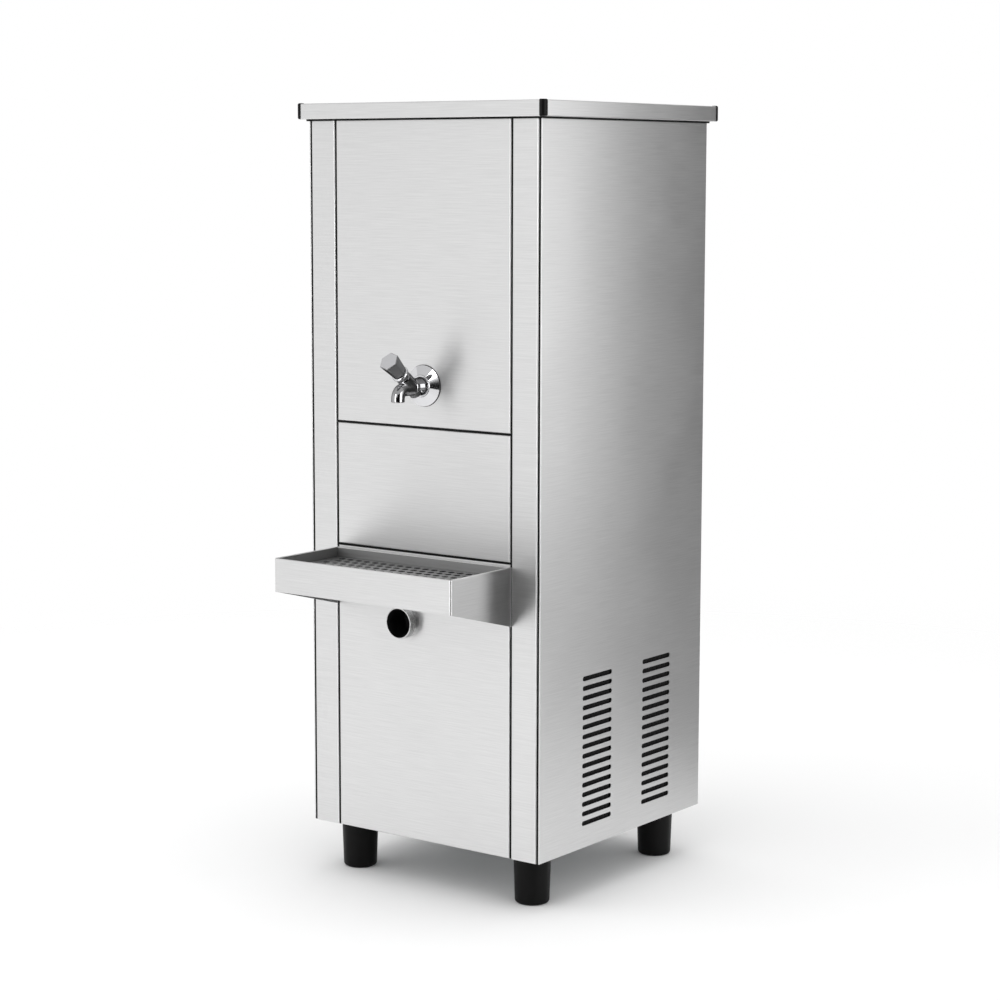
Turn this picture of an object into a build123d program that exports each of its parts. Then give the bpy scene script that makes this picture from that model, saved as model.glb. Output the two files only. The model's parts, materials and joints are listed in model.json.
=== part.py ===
from build123d import *
import os
from math import cos, radians, sin, sqrt

os.makedirs("parts", exist_ok=True)

# Cabinet, measured on the photo with the width as the scale
cabinet_width = 402.0
cabinet_depth = 409.0
body_height = 1007.0  # lower edge of the panels to lower edge of the cover
leg_height = 71.5  # floor to lower edge of the panels
sheet = 1.0
bend = 1.6  # outer radius of a fold
seam = 3.0  # gap between neighbouring panels
post_face = 42.0
post_depth = 22.0
hem = 12.0  # length of the side panel's folded front edge
hem_setback = 1.0
hem_round = 0.75  # share of the sheet
side_flange = 18.0
panel_return = 15.0
upper_seam_height = 585.0  # above the panels' lower edge
lower_seam_height = 410.0
rear_seam_height = 560.0
rail_height = 30.0
base_recess = 6.0  # base pan above the panels' lower edge
base_flange = 20.0
shelf_flange = 20.0

# Vent slots of the side panels and the rear grille
vent_length = 72.0
vent_width = 6.8
vent_pitch = 13.7
vent_rows = 16
vent_spacing = 150.0
vent_place = 0.5232  # middle of the two columns, as a share of the depth from the front
vent_low = 34.5  # lowest slot above the panels' lower edge

# Legs and their bolts
leg_inset_x = 46.0
leg_inset_y = 49.0
leg_top_r = 26.6
leg_foot_r = 24.1
leg_round = 5.0
leg_bolt_r = 4.0
leg_bolt_length = 32.0
leg_bolt_head_r = 6.5
leg_bolt_head = 5.3
thread_gap = 0.1

# Cover, its corner caps and the seal under its lip
cover_height = 21.5
cover_overhang = 12.2
cap_size = 7.3
cap_proud = 0.8
cap_round = 7.2
cap_edge = 2.4
seal_in = 0.5  # seal clear of the panels
seal_gap = 2.5  # seal clear of the caps
seal_height = 2.6

# Screws
screw_r = 1.9
screw_length = 8.0
screw_head_r = 3.8
screw_head = 2.4
screw_head_round = 1.2
screw_gap = 0.15
screw_edge = 9.0  # screw centre from the side panel's face
screw_end = 40.0  # first screw from the ends of a rear panel

# Tap
tap_x = 4.0
tap_above_seam = 58.4
tap_flange_r = 28.3
tap_flange_edge = 1.8
tap_flange_cone = 7.0
tap_ring_r = 15.4
tap_ring_height = 9.0
tap_ring_round = 1.5
tap_barrel_r = 11.8
tap_barrel_length = 30.0
tap_tail_r = 10.4
tap_tail_length = 26.0
tap_hole_gap = 0.4
tap_water_r = 6.0
tap_socket_depth = 10.0
supply_r = 8.0
supply_wall = 1.5
supply_inside = 8.0  # pipe end past the tank wall
washer_r = 18.0
washer_thickness = 2.0
backnut_flat = 15.0  # half of the width across flats
backnut_height = 8.0
head_out = 27.0  # where the headwork axis crosses the barrel axis
head_tilt = 37.7  # headwork axis above the level
head_r = 10.5
head_below = 12.0
head_above = 23.0
head_round = 3.5
bonnet_r = 9.2
bonnet_thread_r = 8.0
bonnet_thread = 8.0
bonnet_end = 29.0
collar_r = 11.9
collar_length = 5.0
collar_round = 2.2
spindle_r = 4.0
spindle_gap = 0.08
spindle_disc_r = 5.8
spindle_disc = 4.0
spindle_disc_at = 1.0
knob_gap = 0.4
knob_length = 28.0
knob_base_r = 9.4
knob_end_r = 12.6
knob_sides = 6
knob_turn = -16.0  # a flat of the knob from upright, closed
knob_edge_round = 1.6
knob_rim_round = 0.6
knob_bore = 18.0
knob_disc_r = 11.8
knob_disc = 1.6
knob_disc_proud = 0.3
spout_drop = 2.4  # spout axis below the barrel axis
spout_start = 22.0
spout_reach = 57.0
spout_bend = 12.0
spout_tip_drop = 18.9
spout_r = 9.2
spout_water_r = 6.2
spout_round = 1.2
nozzle_r = 6.15
nozzle_bore = 5.0

# Drip tray
tray_half_width = 154.0
tray_projection = 134.0
tray_rim_height = 405.5  # above the panels' lower edge
tray_front_wall = 47.0
tray_rear_wall = 82.0
tray_sheet = 1.6
tray_hem = 3.0
tray_hem_height = 8.0
tray_hem_round = 1.2
tray_bend = 2.4
tray_groove = 1.2
tray_groove_reach = 3.2
tray_ledge = 8.0
tray_ledge_sheet = 1.5
tray_screw_drop = 32.0  # screws below the rim
tray_screw_spacing = 230.0
grille_drop = 14.0
grille_gap = 0.8
grille_sheet = 1.5
grille_lip = 6.0
grille_hole_r = 4.8
grille_pitch = 15.0
grille_row_pitch = 17.0
grille_margin = 12.0

# Drain under the tray
drain_x = -31.0
drain_height = 310.0  # above the panels' lower edge
drain_r = 22.0
drain_wall = 1.6
drain_out = 15.0
drain_inside = 26.0
drain_flange = 7.0
drain_gap = 0.1
nipple_r = 7.0
nipple_wall = 1.4
nipple_flange_r = 11.0
nipple_bend = 9.0
nipple_flange = 1.5

# Tank and insulation
tank_drop = 20.0  # tank floor below the tap axis
tank_headroom = 49.0  # tank rim below the cover
tank_wall = 1.2
tank_round = 12.0
tank_rim = 15.0
insulation_gap = 35.0  # to the side panels
pipe_space = 39.5  # insulation to the front and rear faces, for the tap's tail and the pipes
insulation_wall = 17.0
insulation_floor = 25.0
lid_sheet = 2.0
lid_lip = 10.0
lid_gap = 0.6
lid_knob_r = 12.0
lid_knob = 16.0
evaporator_gap = 0.3
evaporator_sheet = 1.6
evaporator_low = 34.0  # sleeve above the tank floor
channel_r = 4.0
evaporator_below = 35.0  # sleeve below the inlet axis
channel_count = 6
hole_gap = 0.3

# Float valve and water inlet
inlet_drop = 35.0  # inlet axis below the tank rim
inlet_r = 10.48
inlet_bore = 6.5
inlet_projection = 20.0
inlet_flange_r = 15.0
inlet_flange = 3.0
inlet_inside = 14.0
valve_tail_r = 6.4
valve_bore = 4.0
valve_flange_r = 13.0
valve_flange = 4.0
valve_body_r = 9.0
valve_body = 24.0
pivot_out = 36.0  # float hinge from the tank wall
pivot_drop = 6.0
pivot_r = 2.0
pivot_gap = 0.08
eye_r = 6.0
eye_width = 6.0
fork_gap = 0.4
fork_wall = 3.0
float_rest = 38.0  # arm below the level at rest
float_reach = 118.0
float_rod_r = 2.5
float_ball_r = 30.0

# Compressor
compressor_r = 76.0
compressor_wall = 4.0
compressor_lower = 84.0
compressor_upper = 88.0
compressor_round = 30.0
compressor_from_left = 22.0  # foot plate to the side panel
compressor_y = 4.0  # behind the middle of the cabinet
foot_plate_width = 196.0
foot_plate_depth = 150.0
foot_sheet = 3.0
foot_bolt_width = 174.0  # between bolt centres
foot_bolt_depth = 128.0
grommet_r = 11.0
grommet_height = 16.0
stud_r = 4.0
terminal_depth = 30.0
terminal_width = 54.0
terminal_low = 30.0

# Condenser and fan
condenser_gap = 8.0  # fins to the side panel
condenser_thick = 40.0
condenser_length = 220.0
condenser_height = 230.0
condenser_low = 16.0  # fins above the base pan
condenser_tube_r = 4.0
condenser_passes = 8
condenser_fins_count = 22
fin_sheet = 0.8
fin_hole_gap = 0.03
condenser_end = 5.0  # straight tube past the last fin
shroud_sheet = 1.2
shroud_flange = 12.0
fan_r = 96.0
fan_tip_gap = 5.0
fan_hub_r = 20.0
fan_hub = 22.0
fan_blades = 5
fan_blade_sheet = 2.0
fan_blade_pitch = 32.0
fan_blade_chord = 46.0
fan_gap = 6.0
fan_shaft_r = 3.0
fan_shaft_gap = 0.08
fan_shaft_in = 20.0
motor_r = 36.0
motor_length = 44.0
motor_round = 5.0
bracket_sheet = 3.0
bracket_width = 78.0
bracket_foot = 36.0

# Refrigerant pipes
pipe_bend = 10.0
pipe_joint = 7.5  # straight pipe between a joint and the next bend
suction_r = 4.8
liquid_r = 2.2
discharge_behind = 38.5  # pipe axes in front of the rear face
suction_behind = 24.5
liquid_behind = 13.5
suction_x = 44.0
liquid_x = -44.0
discharge_at = 120.0  # joints above the foot plate
suction_at = 56.0
drier_r = 9.0
drier_length = 90.0
drier_round = 4.0

# Thermostat and cord gland
thermostat_x = -120.0
thermostat_height = 780.0
thermostat_width = 44.0
thermostat_depth = 26.0
thermostat_tall = 58.0
dial_r = 15.0
dial_height = 14.0
dial_gap = 0.6
dial_shaft_r = 3.0
dial_shaft_gap = 0.08
dial_shaft_in = 14.0
dial_round = 1.5
dial_notch = 2.4
gland_x = -150.0
gland_height = 60.0
gland_r = 8.0
gland_bore = 4.0
gland_flange_r = 13.0
gland_flange = 5.0
gland_inside = 14.0
gland_nut = 5.0

# Places that follow from the sizes
half_width = cabinet_width / 2
front_y = (tray_projection - cabinet_depth - inlet_projection) / 2
back_y = front_y + cabinet_depth
mid_y = (front_y + back_y) / 2
base_z = leg_height
rim_z = base_z + body_height
top_z = rim_z + cover_height
panel_top_z = top_z - sheet
panel_height = panel_top_z - base_z
inner_x = half_width - sheet
inner_back = back_y - 2 * sheet
frame_front = front_y + post_depth
frame_depth = inner_back - frame_front
frame_y = (inner_back + frame_front) / 2
post_outer_x = half_width - 2 * sheet - seam
post_inner_x = post_outer_x - post_face
panel_half = post_inner_x - seam
upper_seam_z = base_z + upper_seam_height
lower_seam_z = base_z + lower_seam_height
rear_seam_z = base_z + rear_seam_height
pan_z = base_z + base_recess
pan_top = pan_z + sheet
vent_y = front_y + vent_place * cabinet_depth
vent_z = base_z + vent_low + vent_pitch * (vent_rows - 1) / 2
tap_z = upper_seam_z + tap_above_seam
tray_z = base_z + tray_rim_height
tray_floor_z = tray_z - tray_front_wall
drain_z = base_z + drain_height
nipple_z = tray_floor_z + tray_sheet + nipple_flange_r
tank_z = tap_z - tank_drop
tank_top = panel_top_z - tank_headroom
tank_y = mid_y
insulation_half = min(inner_x - insulation_gap, cabinet_depth / 2 - pipe_space)
cavity_r = insulation_half - insulation_wall
tank_r = cavity_r - channel_r - evaporator_sheet - 2 * evaporator_gap
shelf_z = tank_z - insulation_floor
inlet_z = tank_top - inlet_drop
leg_x = half_width - leg_inset_x
leg_front_y = front_y + leg_inset_y
leg_back_y = back_y - leg_inset_y
leg_places = {
    "leg_front_left": (-leg_x, leg_front_y),
    "leg_front_right": (leg_x, leg_front_y),
    "leg_rear_left": (-leg_x, leg_back_y),
    "leg_rear_right": (leg_x, leg_back_y),
}

# Ways to lay a rectangle from its place
upward = (Align.CENTER, Align.MIN)
from_corner = (Align.MIN, Align.MIN)

# Planes that look out of the faces: local x and y lie in the face
front = Plane(origin=(0, front_y, 0), x_dir=(1, 0, 0), z_dir=(0, -1, 0))
back = Plane(origin=(0, back_y, 0), x_dir=(-1, 0, 0), z_dir=(0, 1, 0))
right = Plane(origin=(half_width, 0, 0), x_dir=(0, 1, 0), z_dir=(1, 0, 0))

# Screw places on the rear, as x and z
screw_x = half_width - screw_edge
upper_rear_low = rear_seam_z + seam / 2
lower_rear_top = rear_seam_z - seam / 2
upper_rear_mid = (upper_rear_low + panel_top_z) / 2
lower_rear_mid = (base_z + lower_rear_top) / 2
upper_rows = (upper_rear_low + screw_end, upper_rear_mid, panel_top_z - screw_end)
lower_rows = (base_z + screw_end, lower_rear_mid, lower_rear_top - screw_end)
upper_screws = [(x, z) for x in (-screw_x, screw_x) for z in upper_rows]
lower_screws = [(x, z) for x in (-screw_x, screw_x) for z in lower_rows]

# Base pan: a folded tray that the legs, the compressor and the condenser stand on
compressor_x = -inner_x + compressor_from_left + foot_plate_width / 2
compressor_mid = mid_y + compressor_y
with BuildPart() as base_pan:
    with BuildSketch(Plane.XY.offset(pan_z)):
        with Locations((0, frame_y)):
            Rectangle(2 * inner_x, frame_depth)
    extrude(amount=base_flange)
    with BuildSketch(Plane.XY.offset(pan_top)):
        with Locations((0, frame_y)):
            Rectangle(2 * inner_x - 2 * sheet, frame_depth - 2 * sheet)
    extrude(amount=base_flange, mode=Mode.SUBTRACT)
    with BuildSketch(Plane.XY.offset(pan_z)):
        with Locations(*leg_places.values()):
            Circle(leg_bolt_r + thread_gap)
        with Locations((compressor_x, compressor_mid)):
            with GridLocations(foot_bolt_width, foot_bolt_depth, 2, 2):
                Circle(stud_r + thread_gap)
    extrude(amount=sheet, mode=Mode.SUBTRACT)
base_pan.part.label = "base_pan"
export_step(base_pan.part, "parts/base_pan.step")

# Legs: tapered feet turned about their own axes, with a blind hole for the bolt
for leg_name, (leg_at_x, leg_at_y) in leg_places.items():
    with BuildPart() as leg:
        leg_section = Plane(origin=(leg_at_x, leg_at_y, 0), x_dir=(1, 0, 0), z_dir=(0, -1, 0))
        with BuildSketch(leg_section) as leg_half:
            with BuildLine():
                Polyline((0, 0), (leg_foot_r, 0), (leg_top_r, pan_z), (0, pan_z), close=True)
            make_face()
            fillet(leg_half.vertices().sort_by_distance((leg_foot_r, 0, 0))[:1], leg_round)
        revolve(axis=Axis((leg_at_x, leg_at_y, 0), (0, 0, 1)))
        with BuildSketch(Plane(origin=(leg_at_x, leg_at_y, pan_z))):
            Circle(leg_bolt_r + thread_gap)
        extrude(amount=-leg_bolt_length, mode=Mode.SUBTRACT)
    leg.part.label = leg_name
    export_step(leg.part, f"parts/{leg_name}.step")

# Leg bolts, one group of four
with BuildPart() as leg_bolts:
    with BuildSketch(Plane.XY.offset(pan_top)):
        with Locations(*leg_places.values()):
            Circle(leg_bolt_head_r)
    extrude(amount=leg_bolt_head)
    with BuildSketch(Plane.XY.offset(pan_top)):
        with Locations(*leg_places.values()):
            Circle(leg_bolt_r)
    extrude(amount=-leg_bolt_length + sheet)
leg_bolts.part.label = "leg_bolts"
export_step(leg_bolts.part, "parts/leg_bolts.step")

# Side panel: hemmed at the front, flanged at the rear, two columns of vent slots
side_front = front_y + hem_setback
with BuildPart() as right_side_panel:
    with BuildSketch(Plane.XY.offset(base_z)) as side_outline:
        with Locations((half_width, side_front)):
            Rectangle(sheet, back_y - sheet - side_front, align=(Align.MAX, Align.MIN))
            Rectangle(2 * sheet, hem, align=(Align.MAX, Align.MIN))
        with Locations((half_width, back_y - sheet)):
            Rectangle(side_flange, sheet, align=(Align.MAX, Align.MAX))
        fillet(side_outline.vertices().sort_by_distance((half_width, back_y - sheet, 0))[:1], sheet / 2)
        fillet(side_outline.vertices().group_by(Axis.Y)[0], sheet * hem_round)
    extrude(amount=panel_height)
    with BuildSketch(right):
        with Locations((vent_y, vent_z)):
            with GridLocations(vent_spacing, vent_pitch, 2, vent_rows):
                SlotOverall(vent_length, vent_width)
    extrude(amount=-sheet, mode=Mode.SUBTRACT)
    with BuildSketch(back):
        with Locations(*[(-x, z) for x, z in upper_screws + lower_screws if x > 0]):
            Circle(screw_r + screw_gap)
    extrude(amount=-2 * sheet, mode=Mode.SUBTRACT)
right_side_panel.part.label = "right_side_panel"
export_step(right_side_panel.part, "parts/right_side_panel.step")

with BuildPart() as left_side_panel:
    mirror(right_side_panel.part, about=Plane.YZ)
left_side_panel.part.label = "left_side_panel"
export_step(left_side_panel.part, "parts/left_side_panel.step")

# Front corner post: a channel with its open side to the rear
with BuildPart() as right_front_post:
    with BuildSketch(Plane.XY.offset(base_z)) as post_outline:
        with Locations((post_inner_x, front_y)):
            Rectangle(post_face, post_depth, align=from_corner)
        fillet(post_outline.vertices().group_by(Axis.Y)[0], bend)
        with Locations((post_inner_x + sheet, front_y + sheet)):
            Rectangle(post_face - 2 * sheet, post_depth, align=from_corner, mode=Mode.SUBTRACT)
    extrude(amount=panel_height)
right_front_post.part.label = "right_front_post"
export_step(right_front_post.part, "parts/right_front_post.step")

with BuildPart() as left_front_post:
    mirror(right_front_post.part, about=Plane.YZ)
left_front_post.part.label = "left_front_post"
export_step(left_front_post.part, "parts/left_front_post.step")

# Upper front panel: a folded pan with the tap's hole
upper_low = upper_seam_z + seam / 2
upper_height = panel_top_z - upper_low
with BuildPart() as upper_front_panel:
    with BuildSketch(front):
        with Locations((0, upper_low)):
            Rectangle(2 * panel_half, upper_height, align=upward)
    extrude(amount=-panel_return)
    fillet(upper_front_panel.faces().sort_by(Axis.Y)[0].edges(), bend)
    with BuildSketch(front.offset(-sheet)):
        with Locations((0, upper_low + sheet)):
            Rectangle(2 * panel_half - 2 * sheet, upper_height - 2 * sheet, align=upward)
    extrude(amount=-panel_return, mode=Mode.SUBTRACT)
    with BuildSketch(front):
        with Locations((tap_x, tap_z)):
            Circle(tap_tail_r + tap_hole_gap)
    extrude(amount=-sheet, mode=Mode.SUBTRACT)
upper_front_panel.part.label = "upper_front_panel"
export_step(upper_front_panel.part, "parts/upper_front_panel.step")

# Splash panel between the tap and the tray
splash_low = lower_seam_z + seam / 2
splash_height = upper_seam_z - seam / 2 - splash_low
with BuildPart() as splash_panel:
    with BuildSketch(front):
        with Locations((0, splash_low)):
            Rectangle(2 * panel_half, splash_height, align=upward)
    extrude(amount=-panel_return)
    fillet(splash_panel.faces().sort_by(Axis.Y)[0].edges(), bend)
    with BuildSketch(front.offset(-sheet)):
        with Locations((0, splash_low + sheet)):
            Rectangle(2 * panel_half - 2 * sheet, splash_height - 2 * sheet, align=upward)
    extrude(amount=-panel_return, mode=Mode.SUBTRACT)
splash_panel.part.label = "splash_panel"
export_step(splash_panel.part, "parts/splash_panel.step")

# Lower front panel, with the drain's hole and the tray's screw holes
lower_height = lower_seam_z - seam / 2 - base_z
tray_screw_z = tray_z - tray_screw_drop
with BuildPart() as lower_front_panel:
    with BuildSketch(front):
        with Locations((0, base_z)):
            Rectangle(2 * panel_half, lower_height, align=upward)
    extrude(amount=-panel_return)
    fillet(lower_front_panel.faces().sort_by(Axis.Y)[0].edges(), bend)
    with BuildSketch(front.offset(-sheet)):
        with Locations((0, base_z + sheet)):
            Rectangle(2 * panel_half - 2 * sheet, lower_height - 2 * sheet, align=upward)
    extrude(amount=-panel_return, mode=Mode.SUBTRACT)
    with BuildSketch(front):
        with Locations((drain_x, drain_z)):
            Circle(drain_r + drain_gap)
        with Locations((drain_x, nipple_z)):
            Circle(nipple_r + thread_gap)
        with Locations((0, tray_screw_z)):
            with GridLocations(tray_screw_spacing, 0, 2, 1):
                Circle(screw_r + screw_gap)
    extrude(amount=-sheet, mode=Mode.SUBTRACT)
lower_front_panel.part.label = "lower_front_panel"
export_step(lower_front_panel.part, "parts/lower_front_panel.step")

# Cross rails: channels between the posts that close the seams from behind
rail_front = front_y + panel_return
rail_depth = post_depth - panel_return
for rail_name, rail_z in {"middle_rail": upper_seam_z, "tray_rail": lower_seam_z}.items():
    with BuildPart() as rail:
        with BuildSketch(Plane(origin=(-post_inner_x, 0, 0), x_dir=(0, 1, 0), z_dir=(1, 0, 0))):
            with Locations((rail_front, rail_z)):
                Rectangle(rail_depth, rail_height, align=(Align.MIN, Align.CENTER))
            with Locations((rail_front + sheet, rail_z)):
                Rectangle(
                    rail_depth,
                    rail_height - 2 * sheet,
                    align=(Align.MIN, Align.CENTER),
                    mode=Mode.SUBTRACT,
                )
        extrude(amount=2 * post_inner_x)
    rail.part.label = rail_name
    export_step(rail.part, f"parts/{rail_name}.step")

# Tank shelf: a folded deck between the side panels, with holes for two pipes
suction_y = back_y - suction_behind
liquid_y = back_y - liquid_behind
with BuildPart() as tank_shelf:
    with BuildSketch(Plane.XY.offset(shelf_z)):
        with Locations((0, frame_y)):
            Rectangle(2 * inner_x, frame_depth)
    extrude(amount=-shelf_flange)
    with BuildSketch(Plane.XY.offset(shelf_z - sheet)):
        with Locations((0, frame_y)):
            Rectangle(2 * inner_x - 2 * sheet, frame_depth - 2 * sheet)
    extrude(amount=-shelf_flange, mode=Mode.SUBTRACT)
    with BuildSketch(Plane.XY.offset(shelf_z)):
        with Locations((suction_x, suction_y)):
            Circle(suction_r + hole_gap)
        with Locations((liquid_x, liquid_y)):
            Circle(liquid_r + hole_gap)
    extrude(amount=-sheet, mode=Mode.SUBTRACT)
tank_shelf.part.label = "tank_shelf"
export_step(tank_shelf.part, "parts/tank_shelf.step")

# Upper rear panel, with holes for the water inlet and the thermostat
thermostat_z = base_z + thermostat_height
with BuildPart() as upper_rear_panel:
    with BuildSketch(back):
        with Locations((0, upper_rear_low)):
            Rectangle(cabinet_width - 2 * bend, panel_top_z - upper_rear_low, align=upward)
        with Locations((0, inlet_z)):
            Circle(inlet_r + hole_gap, mode=Mode.SUBTRACT)
        with Locations((-thermostat_x, thermostat_z)):
            Circle(dial_shaft_r + hole_gap, mode=Mode.SUBTRACT)
        with Locations(*[(-x, z) for x, z in upper_screws]):
            Circle(screw_r + screw_gap, mode=Mode.SUBTRACT)
    extrude(amount=-sheet)
upper_rear_panel.part.label = "upper_rear_panel"
export_step(upper_rear_panel.part, "parts/upper_rear_panel.step")

# Rear grille: the lower rear panel, slotted, with the cord gland's hole
gland_z = base_z + gland_height
with BuildPart() as rear_grille:
    with BuildSketch(back):
        with Locations((0, base_z)):
            Rectangle(cabinet_width - 2 * bend, lower_rear_top - base_z, align=upward)
        with Locations((0, lower_rear_mid)):
            with GridLocations(vent_length + vent_pitch, vent_pitch, 3, vent_rows):
                SlotOverall(vent_length, vent_width, mode=Mode.SUBTRACT)
        with Locations((-gland_x, gland_z)):
            Circle(gland_r + hole_gap, mode=Mode.SUBTRACT)
        with Locations(*[(-x, z) for x, z in lower_screws]):
            Circle(screw_r + screw_gap, mode=Mode.SUBTRACT)
    extrude(amount=-sheet)
rear_grille.part.label = "rear_grille"
export_step(rear_grille.part, "parts/rear_grille.step")

# Rear screws, one group
with BuildPart() as rear_screws:
    with BuildSketch(back):
        with Locations(*[(-x, z) for x, z in upper_screws + lower_screws]):
            Circle(screw_head_r)
    extrude(amount=screw_head)
    fillet(rear_screws.edges().group_by(Axis.Y)[-1], screw_head_round)
    with BuildSketch(back):
        with Locations(*[(-x, z) for x, z in upper_screws + lower_screws]):
            Circle(screw_r)
    extrude(amount=-screw_length)
rear_screws.part.label = "rear_screws"
export_step(rear_screws.part, "parts/rear_screws.step")

# Top cover: folded flanges with an inward lip, open at the four corners
cover_x = cabinet_width + 2 * cover_overhang
cover_y = cabinet_depth + 2 * cover_overhang
seal_out = cover_overhang - cap_size - seal_gap
cover_lip = cover_overhang - (seal_in + seal_out) / 2
with BuildPart() as top_cover:
    with BuildSketch(Plane.XY.offset(rim_z)):
        with Locations((0, mid_y)):
            Rectangle(cover_x, cover_y)
    extrude(amount=cover_height)
    fillet(top_cover.faces().sort_by(Axis.Z)[-1].edges(), bend)
    fillet(top_cover.faces().sort_by(Axis.Z)[0].edges(), bend)
    with BuildSketch(Plane.XY.offset(rim_z + sheet)):
        with Locations((0, mid_y)):
            Rectangle(cover_x - 2 * sheet, cover_y - 2 * sheet)
    extrude(amount=cover_height - 2 * sheet, mode=Mode.SUBTRACT)
    with BuildSketch(Plane.XY.offset(rim_z)):
        with Locations((0, mid_y)):
            Rectangle(cover_x - 2 * cover_lip, cover_y - 2 * cover_lip)
    extrude(amount=sheet, mode=Mode.SUBTRACT)
    with BuildSketch(Plane.XY.offset(rim_z)):
        with Locations((0, mid_y)):
            with GridLocations(cover_x - cap_size, cover_y - cap_size, 2, 2):
                Rectangle(cap_size, cap_size)
    extrude(amount=cover_height, mode=Mode.SUBTRACT)
top_cover.part.label = "top_cover"
export_step(top_cover.part, "parts/top_cover.step")

# Corner caps: a rounded plug in each open corner, and the seal strip under the lip
cap_side = cap_size + cap_proud
with BuildPart() as cover_corner_caps:
    with BuildSketch(Plane.XY.offset(rim_z)) as cap_outline:
        with Locations((0, mid_y)):
            with GridLocations(cover_x - cap_size + cap_proud, cover_y - cap_size + cap_proud, 2, 2):
                Rectangle(cap_side, cap_side)
        for cap_x in (-cover_x / 2 - cap_proud, cover_x / 2 + cap_proud):
            for cap_y in (mid_y - cover_y / 2 - cap_proud, mid_y + cover_y / 2 + cap_proud):
                fillet(cap_outline.vertices().sort_by_distance((cap_x, cap_y, 0))[:1], cap_round)
    extrude(amount=cover_height + cap_proud)
    fillet(cover_corner_caps.edges().filter_by(GeomType.CIRCLE), cap_edge)
    with BuildSketch(Plane.XY.offset(rim_z)):
        with Locations((0, mid_y)):
            Rectangle(cabinet_width + 2 * seal_out, cabinet_depth + 2 * seal_out)
            Rectangle(cabinet_width + 2 * seal_in, cabinet_depth + 2 * seal_in, mode=Mode.SUBTRACT)
    extrude(amount=-seal_height)
cover_corner_caps.part.label = "cover_corner_caps"
export_step(cover_corner_caps.part, "parts/cover_corner_caps.step")

# Tap planes: out of the panel, the section through the axis, and the headwork's own
tap_at = (tap_x, front_y, tap_z)
tap_out = Plane(origin=tap_at, x_dir=(1, 0, 0), z_dir=(0, -1, 0))
tap_section = Plane(origin=tap_at, x_dir=(1, 0, 0), z_dir=(0, 0, -1))
tap_side = Plane(origin=tap_at, x_dir=(0, -1, 0), z_dir=(-1, 0, 0))
tap_axis = Axis(tap_at, (0, -1, 0))
head_dir = (0, -cos(radians(head_tilt)), sin(radians(head_tilt)))
head = Plane(origin=(tap_x, front_y - head_out, tap_z), x_dir=(1, 0, 0), z_dir=head_dir)

# Wall flange: a shallow cone against the panel, with a raised ring round the barrel
with BuildPart() as tap_flange:
    with BuildSketch(tap_section):
        with BuildLine():
            Polyline(
                (tap_ring_r, tap_flange_cone),
                (tap_ring_r, tap_ring_height),
                (tap_barrel_r, tap_ring_height),
                (tap_barrel_r, 0),
                (tap_flange_r, 0),
                (tap_flange_r, tap_flange_edge),
                close=True,
            )
        make_face()
    revolve(axis=tap_axis)
    fillet(tap_flange.edges().group_by(Axis.Y)[0], tap_ring_round)
tap_flange.part.label = "tap_flange"
export_step(tap_flange.part, "parts/tap_flange.step")

# Rubber washer behind the panel
with BuildPart() as tap_washer:
    with BuildSketch(tap_out.offset(-sheet)):
        Circle(washer_r)
        Circle(tap_tail_r + thread_gap, mode=Mode.SUBTRACT)
    extrude(amount=-washer_thickness)
tap_washer.part.label = "tap_washer"
export_step(tap_washer.part, "parts/tap_washer.step")

# Back nut
with BuildPart() as tap_backnut:
    with BuildSketch(tap_out.offset(-sheet - washer_thickness)):
        RegularPolygon(backnut_flat, 6, major_radius=False)
        Circle(tap_tail_r + thread_gap, mode=Mode.SUBTRACT)
    extrude(amount=-backnut_height)
tap_backnut.part.label = "tap_backnut"
export_step(tap_backnut.part, "parts/tap_backnut.step")

# Tap body: tail, barrel, headwork tube and spout in one casting, bored for the water
spout_bend_from = (spout_reach - spout_bend, -spout_drop)
spout_bend_to = (spout_reach, -spout_drop - spout_bend)
spout_tip = (spout_reach, -spout_tip_drop)
with BuildPart() as tap_body:
    with BuildSketch(tap_out):
        Circle(tap_tail_r)
    extrude(amount=-tap_tail_length)
    with BuildSketch(tap_out):
        Circle(tap_barrel_r - thread_gap)
    extrude(amount=tap_barrel_length)
    fillet(tap_body.edges().group_by(Axis.Y)[0], head_round)
    with BuildSketch(head.offset(-head_below)):
        Circle(head_r)
    extrude(amount=head_below + head_above)
    with BuildLine(tap_side):
        Line((spout_start, -spout_drop), spout_bend_from)
        RadiusArc(spout_bend_from, spout_bend_to, spout_bend)
        Line(spout_bend_to, spout_tip)
    with BuildSketch(tap_out.offset(spout_start)):
        with Locations((0, -spout_drop)):
            Circle(spout_r)
    sweep()
    fillet(tap_body.edges().group_by(Axis.Z)[0], spout_round)
    with BuildLine(tap_side):
        Line((spout_start, -spout_drop), spout_bend_from)
        RadiusArc(spout_bend_from, spout_bend_to, spout_bend)
        Line(spout_bend_to, spout_tip)
    with BuildSketch(tap_out.offset(spout_start)):
        with Locations((0, -spout_drop)):
            Circle(spout_water_r)
    sweep(mode=Mode.SUBTRACT)
    with BuildSketch(tap_out.offset(-tap_tail_length)):
        Circle(tap_water_r)
    extrude(amount=tap_tail_length + spout_start, mode=Mode.SUBTRACT)
    with BuildSketch(tap_out.offset(-tap_tail_length)):
        Circle(supply_r + thread_gap)
    extrude(amount=tap_socket_depth, mode=Mode.SUBTRACT)
    with BuildSketch(head):
        Circle(tap_water_r)
    extrude(amount=head_above, mode=Mode.SUBTRACT)
    with BuildSketch(head.offset(head_above - bonnet_thread)):
        Circle(bonnet_thread_r + thread_gap)
    extrude(amount=bonnet_thread, mode=Mode.SUBTRACT)
tap_body.part.label = "tap_body"
export_step(tap_body.part, "parts/tap_body.step")

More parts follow.
